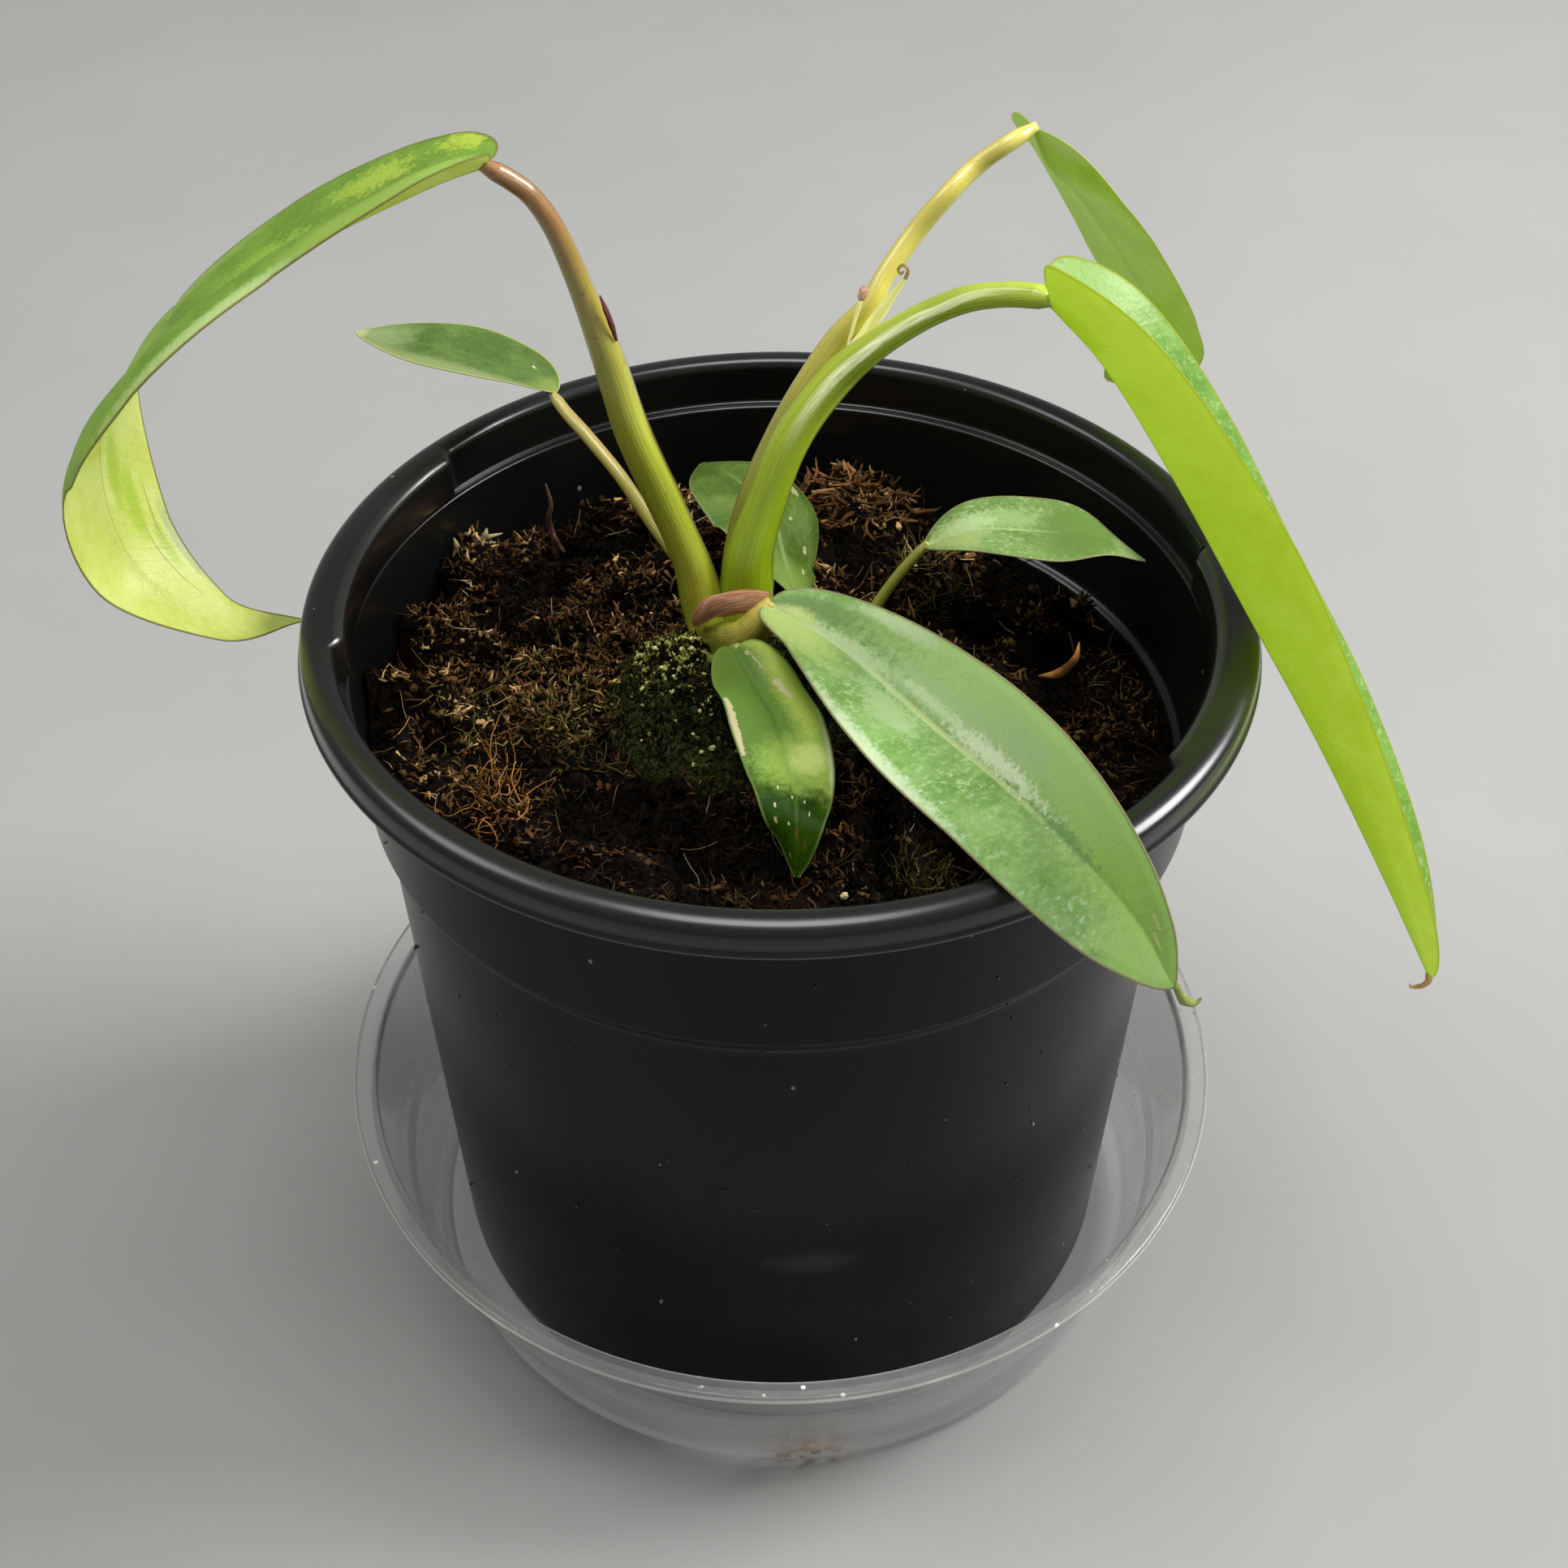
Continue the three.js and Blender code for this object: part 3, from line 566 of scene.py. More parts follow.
saucer_finish()
saucer_vertices, saucer_faces = turned(rounded(SAUCER_OUTLINE, 0.35), SAUCER_STEPS)
saucer_names = ("saucer_shell", saucer_vertices, saucer_faces, "saucer_clear", "saucer_plastic")
piece(*saucer_names, stands_for=["saucer"], sharp=60)

# %% [markdown]
# The potting mix is peat and bark full of short curly fibres. Its ground is a height above each
# point of the pot's mouth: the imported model's own mounds and lumps with finer random grains over
# them. Crumbs and fibres then lie on it as real little solids, which is what gives it its depth.

# %% The ground's height
SOIL_LEVEL = 96.0
MOUNDS = [[-26, 34, 4.5, 15], [10, 37, 5, 12], [-44, -6, 4, 16], [42, 2, -3, 20], [0, 0, 2, 24]]
SMALL_MOUNDS = [[-41, 28, 2.6, 7]]
PLUG_CENTRE = np.array([-6.0, -3.0])
PLUG_RADIUS = 17.0
PLUG_TOP = 103.0
INNER_STEP = LEDGE + 2.2
SLUMP = 7.5


def lumps(x, y):
    """Waves of falling length laid over each other at odd angles."""
    coarse = np.sin(0.31 * x + 0.17 * y) * np.cos(0.23 * y - 0.11 * x)
    middle = np.sin(0.72 * x - 0.58 * y + 1.3) * np.sin(0.66 * y + 0.41 * x)
    fine = np.sin(1.37 * x + 0.9 * y) * np.cos(1.51 * y - 0.6 * x + 0.7)
    return 1.1 * coarse + 0.9 * middle + 0.6 * fine


def ground(x, y):
    """Level + lumps + mounds h exp(-(d/s)^2) + three sizes of grain, sunk under the plug and
    slumped along the wall at the back and on the right."""
    z = SOIL_LEVEL - 0.8 + lumps(x, y)
    for mound_x, mound_y, height, spread in MOUNDS + SMALL_MOUNDS:
        z = z + height * np.exp(-((x - mound_x) ** 2 + (y - mound_y) ** 2) / spread**2)
    z = z + 5.4 * (relief(x, y, 5.3) - 0.55) + 2.4 * (relief(x + 40, y, 2.1) - 0.5)
    z = z + 0.9 * (relief(x, y + 90, 0.8) - 0.5)
    off_plug = np.hypot(x - PLUG_CENTRE[0], y - PLUG_CENTRE[1])
    z = z - 7 * (1 - eased(off_plug, 10, 15.5))
    slump = SLUMP * eased(np.hypot(x, y), 45, 51) * eased(x, -43, -37) * eased(y, -10, 2)
    return z - slump


def inner_wall(z):
    """Radius of the pot's inner wall: straight up to the stacking ledge, and wider above it."""
    bottom = FLOOR_TOP + 3
    lower = 46.6 + 4.7 * (z - bottom) / (INNER_STEP - bottom)
    upper = 52.8 + 1.5 * (z - INNER_STEP - 1.4) / (RECESS_BOTTOM - INNER_STEP - 1.4)
    return lower + (upper - lower) * eased(z, INNER_STEP, INNER_STEP + 1.4)


def soil_surface(rings=84, steps=300):
    """A disc of rings under the ground's height, with a wall and a floor inside the pot."""
    bearing = np.linspace(0, 2 * np.pi, steps, endpoint=False)
    edge_height = ground(51 * np.cos(bearing), 51 * np.sin(bearing))
    edge = inner_wall(edge_height) - 0.4
    radius = (1 - np.arange(rings) / rings)[:, None] * edge
    x, y = radius * np.cos(bearing), radius * np.sin(bearing)
    top = np.stack([x, y, ground(x, y)], axis=-1)
    wall = []
    for r, z in [[44.4, 3.2], [46.3, 6.1], [inner_wall(edge_height - 1.5) - 0.4, edge_height - 1.5]]:
        wall.append(np.stack([r * np.cos(bearing), r * np.sin(bearing), z + 0 * bearing], axis=-1))
    grid = np.concatenate([np.array(wall), top])
    vertices = np.vstack([grid.reshape(-1, 3), [[0, 0, 3.2]], [[0, 0, float(ground(0.0, 0.0))]]])
    here = np.arange(steps)
    beside = np.roll(here, -1)
    inner = (len(grid) - 1) * steps
    count = len(grid) * steps
    floor_fan = np.stack([np.full(steps, count), beside, here], axis=1)
    middle_fan = np.stack([np.full(steps, count + 1), inner + here, inner + beside], axis=1)
    return vertices, [net(len(grid), steps, closed=True), floor_fan, middle_fan]


print("Ground heights:", ground(*np.mgrid[-50:50:40j, -50:50:40j]).round(1).min(), "mm at the least")

# %% Dark soil under the fibres
def soil_finish():
    paint = Paint("soil_dark")
    place = paint.place()
    patches = paint.noise(place, 90.0, 3.0)
    grains = paint.noise(place, 1300.0, 4.0, 0.7)
    brown = paint.mix(paint.step(grains, 0.4, 0.75), shade(5, 4, 3), shade(36, 26, 17))
    colour = paint.mix(paint.step(patches, 0.5, 0.7) * 0.6, brown, shade(24, 17, 10))
    normal = paint.bump(grains, 0.0006, 0.9)
    values = {"Base Color": colour, "Roughness": 0.95, "Normal": normal, "Specular IOR Level": 0.08}
    paint.finish(paint.shader(values))


soil_finish()
soil_vertices, soil_faces = soil_surface()
piece("soil_ground", soil_vertices, soil_faces, "soil_dark", "soil", stands_for=["soil"])

# %% [markdown]
# Fibres, crumbs and moss leaves come in thousands, so each has only a few faces and all of one
# kind are one mesh. A tube along each line serves for a fibre as well as for a stalk: at every
# point a ring stands square to the line.


# %% Tubes along lines
def tubes(paths, radii, sides, lean=(0.35, -0.87, 0.35)):
    """Rings round each path: at angle a a ring point is centre + r (u cos a + w sin a), where u is
    lean x heading and w is heading x u. radii has a value a point, or one for each ring angle."""
    if radii.ndim == 2:
        radii = radii[:, :, None]
    count, points = radii.shape[:2]
    along = unit(np.gradient(paths, axis=1))
    u = unit(np.cross(np.array(lean), along))
    w = np.cross(along, u)
    angle = np.arange(sides) * 2 * np.pi / sides
    ring = u[:, :, None] * np.cos(angle)[:, None] + w[:, :, None] * np.sin(angle)[:, None]
    grid = paths[:, :, None] + ring * radii[..., None]
    vertices = grid.reshape(-1, 3)
    one = net(points, sides, closed=True)
    size = points * sides
    offsets = (np.arange(count) * size)[:, None, None]
    quads = (one[None] + offsets).reshape(-1, 4)
    fan = np.array([[0, k + 1, k] for k in range(1, sides - 1)])
    last = size - sides
    caps = np.vstack([fan, last + fan[:, ::-1]])
    return vertices, [quads, (caps[None] + offsets).reshape(-1, 3)]


def curls(draws, roots, headings, lengths, curl, points):
    """Wandering lines: each step turns the heading by a random amount times curl."""
    turns = draws.normal(size=(len(roots), points - 1, 3)) * curl
    bends = unit(headings[:, None] + np.cumsum(turns, axis=1))
    steps = bends * (lengths / (points - 1))[:, None, None]
    path = np.concatenate([np.zeros((len(roots), 1, 3)), np.cumsum(steps, axis=1)], axis=1)
    return roots[:, None] + path


def tapered(paths, thickness, tip=0.3):
    """Radii that fall from the given one at the root to a share of it at the tip."""
    fall = np.linspace(1, tip, paths.shape[1])
    return thickness[:, None] * fall


print("Faces of one four-sided test tube:", len(tubes(np.zeros((1, 3, 3)), np.ones((1, 3)), 4)[1][0]))

# %% [markdown]
# The fibres are coir and moss stems a few millimetres long. They lie at all angles on the ground
# and curl, so each is a random walk with a slowly turning heading. A point that would leave the
# pot is drawn in, and each fibre keeps a tone from 0 to 1 that its finish turns into a colour.
# Each tone is also darkened by the soil's painted light and shade.

# %% Fibre finishes
def fibre_finish(name, dark, middle, light):
    """Three colours by the fibre's own tone, with a fine mottle."""
    paint = Paint(name)
    tone = paint.attribute("tone") + paint.noise(paint.place(), 900.0, 2.0) * 0.3 - 0.15
    low = paint.mix(paint.step(tone, 0.0, 0.62), shade(*dark), shade(*middle))
    colour = paint.mix(paint.step(tone, 0.6, 1.0), low, shade(*light))
    paint.finish(paint.shader({"Base Color": colour, "Roughness": 0.85, "Specular IOR Level": 0.08}))


fibre_finish("fibre_brown", (6, 4, 2), (120, 86, 52), (236, 194, 134))
fibre_finish("fibre_orange", (70, 44, 22), (168, 112, 58), (244, 190, 116))
fibre_finish("bark", (34, 22, 12), (108, 74, 42), (176, 130, 84))
fibre_finish("moss_green", (30, 30, 10), (92, 88, 40), (164, 152, 86))
fibre_finish("moss_olive", (34, 34, 12), (112, 108, 48), (190, 184, 106))
fibre_finish("moss_dark", (14, 18, 7), (68, 72, 30), (156, 150, 80))
fibre_finish("dust", (84, 70, 52), (150, 136, 112), (214, 208, 196))
fibre_finish("twig_brown", (64, 44, 34), (112, 82, 66), (150, 120, 98))
fibre_finish("straw", (120, 104, 66), (186, 170, 124), (222, 210, 170))

# %% Fibres that lie on the ground
draws = np.random.default_rng(20240)


def within_pot(paths):
    """Draws points back inside the wall, and lifts those that sank too deep."""
    radius = np.hypot(paths[..., 0], paths[..., 1])
    limit = inner_wall(paths[..., 2]) - 0.5
    shrink = np.minimum(1, limit / np.maximum(radius, 1e-6))
    paths = paths * np.stack([shrink, shrink, np.ones_like(shrink)], axis=-1)
    floor_height = ground(paths[..., 0], paths[..., 1]) - 0.6
    paths[..., 2] = np.maximum(paths[..., 2], floor_height)
    return paths


def scattered(count, centre=(0.0, 0.0), spread=52.0, even=True):
    """Random places in a disc, evenly spread or gathered to its middle, on the ground."""
    bearing = draws.random(count) * 2 * np.pi
    share = draws.random(count)
    radius = spread * (np.sqrt(share) if even else share)
    x, y = centre[0] + radius * np.cos(bearing), centre[1] + radius * np.sin(bearing)
    return np.stack([x, y, ground(x, y)], axis=1)


def painted_soil_light(roots):
    """Painted light and shade on the mix: near 0 in the hollows, a painted shade, and at the front
    right, a painted shadow of the wall and the leaves; 1 on the tops at the back left, where the
    painted light is. Three sizes of relief make clumps with painted dark gaps between them."""
    x, y = roots[:, 0], roots[:, 1]
    high = 0.45 * relief(x, y, 5.3) + 0.25 * relief(x + 40, y, 2.1) + 0.3 * relief(x + 70, y + 13, 8.5)
    painted_light_side = 0.34 + 0.66 * eased(y - 0.5 * x, -22, 14)
    return (0.06 + 1.04 * eased(high, 0.42, 0.6)) * painted_light_side


def fibres(name, roots, finish, slot, length, thick, rise, curl=0.45, points=5, sides=3, low=0.0):
    """Curled tapered tubes from the roots: length, thickness and rise are (least, most)."""
    count = len(roots)
    roots = roots + [0, 0, 0.2]
    bearing = draws.random(count) * 2 * np.pi
    climb = draws.uniform(*rise, count)
    flat = np.cos(climb)
    start = np.stack([flat * np.cos(bearing), flat * np.sin(bearing), np.sin(climb)], axis=1)
    lengths = draws.uniform(*length, count)
    paths = within_pot(curls(draws, roots, start, lengths, curl, points))
    vertices, faces = tubes(paths, tapered(paths, draws.uniform(*thick, count)), sides)
    # The tone is a random one times the soil's painted light and shade.
    shaded = low + (1 - low) * painted_soil_light(roots)
    tone = np.repeat((low + (1 - low) * draws.random(count) ** 1.5) * shaded, points * sides)
    return piece(name, vertices, faces, finish, slot, {"tone": tone})


fibres("soil_fibres", scattered(2600), "fibre_brown", "soil", (1.6, 5.0), (0.09, 0.22), (-0.2, 0.8), 0.25, 4)
fibres("soil_fluff", scattered(5300), "fibre_brown", "soil", (0.7, 2.2), (0.14, 0.36), (-0.1, 1.2), 0.8, 4)
pale = scattered(170, spread=48.0)
fibres("pale_fibres", pale, "straw", "soil", (2.0, 5.5), (0.06, 0.15), (-0.1, 0.6), 0.2, 5, 3, 0.2)


def clods(name, centres, stubs, size):
    """Short stubs all over little domes: root = centre + direction x size, heading outwards. The
    tone falls from the top of a dome to its foot, a painted shade, times the painted light of the soil."""
    count = len(centres) * stubs
    outwards = unit(draws.normal(size=(count, 3)) * [1, 1, 0.8] + [0, 0, 0.5])
    reach = np.repeat(draws.uniform(*size, len(centres)), stubs)[:, None]
    roots = np.repeat(centres, stubs, axis=0) + outwards * reach * [1, 1, 0.85]
    start = unit(outwards + draws.normal(size=(count, 3)) * 0.5)
    paths = within_pot(curls(draws, roots, start, draws.uniform(0.5, 1.9, count), 0.7, 3))
    vertices, faces = tubes(paths, tapered(paths, draws.uniform(0.16, 0.42, count), 0.15), 3)
    # Painted shade: lighter on top of each clod and darker towards its foot.
    top = np.clip(0.05 + 0.95 * outwards[:, 2], 0.04, 1)
    tone = np.repeat(top * draws.uniform(0.3, 1, count) * np.sqrt(painted_soil_light(roots)), 3 * 3)
    return piece(name, vertices, faces, "fibre_brown", "soil", {"tone": tone})


clod_places = np.vstack([scattered(170, (-22, 17), 27.0), scattered(140, spread=48.0)])
clods("soil_clods", clod_places, 40, (1.2, 3.0))

# %% Tufts that stand out from the rest
moss_left = scattered(800, (-29, -7), 16.0, even=False)
long, thin = (1.2, 4.2), (0.07, 0.2)
fibres("moss_threads", moss_left, "moss_olive", "moss", long, thin, (0.0, 0.9), 0.35, 4, low=0.15)
tuft = scattered(64, (-34.5, -21), 5.0, even=False)
fibres("orange_tuft", tuft, "fibre_orange", "soil", (5.0, 12.0), (0.08, 0.2), (0.0, 0.9), 0.75, 14, 3, 0.65)
back_tuft = scattered(300, (9, 41), 10.0)
fibres("back_tuft", back_tuft, "bark", "soil", (1.4, 4.6), (0.2, 0.6), (-0.2, 0.25), 0.25, 4, 3, 0.3)
left_tuft = scattered(150, (-46, 4), 5.0, even=False)
fibres("left_tuft", left_tuft, "fibre_orange", "soil", (1.2, 3.6), (0.1, 0.26), (0.1, 0.9), 0.6, 4, 3, 0.3)
sprigs = np.vstack([scattered(90, (17.5, -32.5), 4.0, even=False), scattered(130, (20, 24), 5.0)])
fibres("moss_sprigs", sprigs, "moss_green", "moss", (2.0, 5.0), (0.05, 0.12), (0.3, 1.3), 0.3, low=0.5)

# %% [markdown]
# Crumbs are chips of bark and lumps of peat. Each is an icosahedron whose twelve corners are
# pulled in or out at random, then stretched and turned, so that no two look alike.

# %% Crumbs
WALL_CRUMBS = 130
GOLDEN = (1 + 5**0.5) / 2
ICO = unit(np.array([
    [-1, GOLDEN, 0], [1, GOLDEN, 0], [-1, -GOLDEN, 0], [1, -GOLDEN, 0], [0, -1, GOLDEN], [0, 1, GOLDEN],
    [0, -1, -GOLDEN], [0, 1, -GOLDEN], [GOLDEN, 0, -1], [GOLDEN, 0, 1], [-GOLDEN, 0, -1], [-GOLDEN, 0, 1],
]))
ICO_FACES = np.array([
    [0, 11, 5], [0, 5, 1], [0, 1, 7], [0, 7, 10], [0, 10, 11], [1, 5, 9], [5, 11, 4], [11, 10, 2],
    [10, 7, 6], [7, 1, 8], [3, 9, 4], [3, 4, 2], [3, 2, 6], [3, 6, 8], [3, 8, 9], [4, 9, 5], [2, 4, 11],
    [6, 2, 10], [8, 6, 7], [9, 8, 1],
])


def crumbs(name, centres, size, finish, slot, stretch=(0.6, 1.5), ragged=0.3, shade_by=painted_soil_light):
    """Icosahedra with corners at size x stretch x (1 +- ragged), each in its own random frame."""
    count = len(centres)
    a = unit(draws.normal(size=(count, 3)))
    b = unit(np.cross(a, draws.normal(size=(count, 3))))
    frames = np.stack([a, b, np.cross(a, b)], axis=1)
    scale = draws.uniform(*size, (count, 1, 1)) * draws.uniform(*stretch, (count, 1, 3))
    corners = ICO * scale * draws.uniform(1 - ragged, 1 + ragged, (count, len(ICO), 1))
    vertices = (corners @ frames + centres[:, None]).reshape(-1, 3)
    faces = (ICO_FACES[None] + (np.arange(count) * len(ICO))[:, None, None]).reshape(-1, 3)
    tone = np.repeat(draws.random(count) ** 1.5 * shade_by(centres), len(ICO))
    return piece(name, vertices, [faces], finish, slot, {"tone": tone}, sharp=20)


crumbs("soil_crumbs", scattered(3400, spread=50.0), (0.2, 0.5), "fibre_brown", "soil", (0.3, 2.0))
crumbs("clod_cores", clod_places, (1.0, 1.9), "soil_dark", "soil", (0.8, 1.2))
wall_bearing = draws.random(WALL_CRUMBS) * 2 * np.pi
wall_height = draws.uniform(8, 108, WALL_CRUMBS)
wall_radius = np.interp(wall_height, [7, LEDGE - 2.2, LEDGE, 106], [48.4, 52.3, 53.9, 54.7]) + 0.08
wall_circle = wall_radius * np.array([np.cos(wall_bearing), np.sin(wall_bearing)])
wall_places = np.stack([*wall_circle, wall_height], axis=1)
crumbs("wall_dust", wall_places, (0.09, 0.2), "dust", "soil", (0.3, 2.2), 0.35, lambda roots: 0.8)
perlite = np.array([[7.5, -38.9, 98.4], [-16.0, -4.2, 102.0]])
crumbs("perlite", perlite, (0.5, 0.8), "straw", "soil", (0.8, 1.1), 0.15, lambda roots: 1.0)

# %% [markdown]
# The young plant was raised in a small peat plug, now sunk in the mix. Its dome is turned like
# the pot and roughened, then overgrown with moss: thousands of tiny leaves, and pale
# yellow-green grains where it is brightest, to the left of the crown.

# %% Mossy plug
PLUG_BOTTOM = 62.0
PLUG_OUTLINE = [
    [0, 0], [0.8, 0], [0.86, 0.05], [0.97, 0.62], [1, 0.78], [0.96, 0.86], [0.86, 0.915], [0.72, 0.95],
    [0.55, 0.975], [0.36, 0.99], [0.18, 1], [0, 1],
]


def plug_height(x, y):
    """Height of the dome over a place: the outline read backwards, with lumps and grains."""
    outline = np.array(PLUG_OUTLINE[4:])[::-1]
    share = np.hypot(x - PLUG_CENTRE[0], y - PLUG_CENTRE[1]) / PLUG_RADIUS
    z = PLUG_BOTTOM + np.interp(share, outline[:, 0], outline[:, 1]) * (PLUG_TOP - PLUG_BOTTOM)
    own = 1.7 * (x - PLUG_CENTRE[0])
    z = z + 0.45 * lumps(own + 3, 1.7 * (y - PLUG_CENTRE[1]))
    z = z + 1.3 * (relief(x, y, 0.9) - 0.5) + 1.2 * (relief(x + 9, y, 2.6) - 0.5)
    return z + 2.6 * (relief(x, y + 50, 4.4) - 0.55)


def plug_surface():
    """The turned outline, whose dome takes the heights above."""
    outline = rounded(np.array(PLUG_OUTLINE) * [PLUG_RADIUS, PLUG_TOP - PLUG_BOTTOM], 1.5, 8)
    fine = spline(outline[4:], np.linspace(0, 1, 110))
    outline = np.vstack([[[0, 0]], fine[1:-1], [[0, PLUG_TOP - PLUG_BOTTOM]]])
    vertices, faces = turned(outline, 130)
    vertices += [*PLUG_CENTRE, PLUG_BOTTOM]
    on_dome = eased(vertices[:, 2], PLUG_BOTTOM + 34, PLUG_BOTTOM + 37)
    dome = plug_height(vertices[:, 0], vertices[:, 1])
    vertices[:, 2] += on_dome * (dome - vertices[:, 2])
    return vertices, faces


def plug_finish():
    paint = Paint("plug_moss")
    place = paint.place()
    patches = paint.noise(place, 160.0, 3.0)
    grains = paint.noise(place, 1500.0, 3.0, 0.7)
    dark = paint.mix(paint.step(grains, 0.4, 0.7), shade(14, 15, 7), shade(84, 82, 42))
    colour = paint.mix(paint.step(patches, 0.45, 0.65) * 0.5, dark, shade(40, 56, 18))
    normal = paint.bump(grains, 0.0005, 0.9)
    values = {"Base Color": colour, "Roughness": 0.95, "Normal": normal, "Specular IOR Level": 0.08}
    paint.finish(paint.shader(values))


def on_plug(count, centre, spread):
    """Random places near a point of the dome, gathered to the middle."""
    bearing, share = draws.random(count) * 2 * np.pi, draws.random(count)
    x = centre[0] + spread * share * np.cos(bearing)
    y = centre[1] + spread * share * np.sin(bearing)
    return np.stack([x, y, plug_height(x, y)], axis=1)


plug_finish()
plug_vertices, plug_faces = plug_surface()
piece("plug_dome", plug_vertices, plug_faces, "plug_moss", "moss", stands_for=["rooting_plug"])
moss_roots = on_plug(3600, PLUG_CENTRE, 15.5)
long, thick = (0.6, 1.7), (0.09, 0.24)
fibres("plug_moss_leaves", moss_roots, "moss_dark", "moss", long, thick, (0.2, 1.5), 0.5, 4, low=0.1)
fibre_finish("grain_yellow", (120, 122, 52), (204, 200, 116), (250, 244, 186))
bright = np.vstack([on_plug(430, (-13, 4), 6.0), on_plug(190, (-12, 0), 8.5), on_plug(60, (-9, -9), 9.0)])
bright += [0, 0, 0.3]
lit = 0.9
crumbs("moss_grains", bright, (0.12, 0.38), "grain_yellow", "moss", (0.7, 1.4), 0.35, lambda roots: lit)

# %% Twig, straws and flake
def strip(name, line, thickness, finish, slot, sides=8, points=40, flat=1.0):
    """One tube through a few points; flat below 1 thins it along its second axis."""
    share = np.linspace(0, 1, points)
    path = spline(line, share)[None]
    radius = np.interp(share, np.linspace(0, 1, len(thickness)), thickness)
    angle = np.arange(sides) * 2 * np.pi / sides
    oval = 1 / np.sqrt(np.cos(angle) ** 2 + (np.sin(angle) / flat) ** 2)
    vertices, faces = tubes(path, radius[None, :, None] * oval, sides)
    tone = np.repeat(0.45 + 0.3 * np.sin(9 * share), sides)
    return piece(name, vertices, faces, finish, slot, {"tone": tone})


TWIG = [[-31.4, 31, 96.5], [-31.6, 31, 99.5], [-32.1, 31, 102.9], [-31.6, 31, 105.5], [-32.1, 31, 108.8]]
strip("twig", TWIG, [0.6, 0.5, 0.42, 0.3, 0.12], "twig_brown", "soil")
SIDE_TWIG = [[-32, 31, 101.5], [-31.2, 30.6, 99.6], [-30.2, 30.2, 98]]
strip("side_twig", SIDE_TWIG, [0.2, 0.4, 0.3], "twig_brown", "soil")
STICK = [[5.5, 36, 99], [10, 35.2, 99.7], [16, 34.9, 99.3]]
strip("stick", STICK, [0.3, 0.6, 0.3], "fibre_orange", "soil")
STRAWS = [
    [[-44.6, 27.4, 100], [-42.4, 28.6, 100.3], [-39.6, 30, 99.8]],
    [[-43.6, 27.6, 100.2], [-41.2, 29.2, 100.9], [-38.6, 30.4, 101]],
    [[-41.8, 28.6, 100], [-40.9, 29.2, 101.4], [-40.6, 29.8, 102.3]],
    [[-45.2, 26.8, 99.6], [-44.6, 27.2, 100.9], [-44.9, 27.6, 102.2]],
]
for n, line in enumerate(STRAWS):
    strip(f"straw_{n}", line, [0.12, 0.5, 0.1], "straw", "soil", flat=0.4)
FLAKE = [[34, 4.4, 96.4], [36.5, 3.4, 97.6], [38.6, 4.6, 99.2], [39.2, 6.4, 100.6]]
strip("bark_flake", FLAKE, [0.2, 0.9, 0.6, 0.1], "fibre_orange", "soil", flat=0.2)

# %% [markdown]
# A stalk is a tube too, but a living one: it has fine streaks along it, and the lower stalks have
# a thin ridge down their right side where the sheath ends. Right and front are kept as two
# attributes, the cosine and sine of the ring angle, since an angle itself would have a seam.
# The big right stalk also has a painted highlight streak along its upper left.

# %% Stalk finish
def stalk_finish(name, low, high, edge, top_edge, turn=(0.35, 0.8), blush=0.0, painted_highlight_strength=0.0):
    """From the low colour at the crown to the high one at the blade, with a dark line on the right
    and a painted highlight streak, which also glows, as strong as asked, along the upper left."""
    paint = Paint(name)
    along, right, front = (paint.attribute(field) for field in ("along", "right", "front"))
    streak_place = paint.vector(right * 9, front * 9, along * 5)
    streaks = paint.noise(streak_place, 1.0, 4.0, 0.6)
    speckle = paint.step(paint.noise(paint.place(), 1100.0, 3.0, 0.65), 0.6, 0.75)
    base = paint.mix(paint.step(along, *turn), shade(*low), shade(*high))
    darker = paint.mix(0.45, base, (0.05, 0.09, 0.01, 1), "MULTIPLY")
    deep = paint.mix(0.55, base, darker)
    colour = paint.mix(paint.step(streaks, 0.42, 0.7) * 0.6, base, deep)
    rim = paint.mix(paint.step(along, *turn), shade(*edge), shade(*top_edge))
    on_right = paint.step(right + streaks * 0.25, 0.9, 1.12)
    colour = paint.mix(on_right * 0.85, colour, rim)
    reddened = speckle * (paint.step(along, 0.1, 0.5) * 0.6 + 0.2) * blush
    colour = paint.mix(reddened, colour, shade(112, 62, 40))
    fine = paint.noise(paint.vector(right * 30, front * 30, along * 14), 1.0, 2.0, 0.6)
    paler = paint.mix(1.0, colour, (1, 1, 1, 1), "SOFT_LIGHT")
    colour = paint.mix(paint.step(fine, 0.45, 0.7) * 0.5, colour, paler)
    # A painted highlight along the upper left, which also glows through the emission below.
    stalk_highlight_side = paint.step(front * 0.87 - right * 0.5 + (streaks - 0.5) * 0.16, 0.9, 1.0)
    patchy = paint.step(fine, 0.38, 0.56) * 0.8 + 0.2
    stretch_of = paint.step(along, 0.3, 0.5) * (1 - paint.step(along, 0.7, 0.92))
    painted_stalk_highlight = stalk_highlight_side * patchy * stretch_of * painted_highlight_strength
    colour = paint.mix(painted_stalk_highlight, colour, shade(255, 255, 206))
    normal = paint.bump(streaks, 0.0002, 0.5)
    values = {"Base Color": colour, "Roughness": 0.3, "Normal": normal, "Subsurface Weight": 0.12}
    values.update({"Coat Weight": 0.9, "Coat Roughness": 0.12, "Emission Strength": 0.4})
    values["Emission Color"] = paint.mix(painted_stalk_highlight, (0, 0, 0, 1), shade(236, 244, 200))
    values["Subsurface Radius"] = (0.002, 0.003, 0.0006)
    paint.finish(paint.shader({**values, "Subsurface Scale": 1.0}))


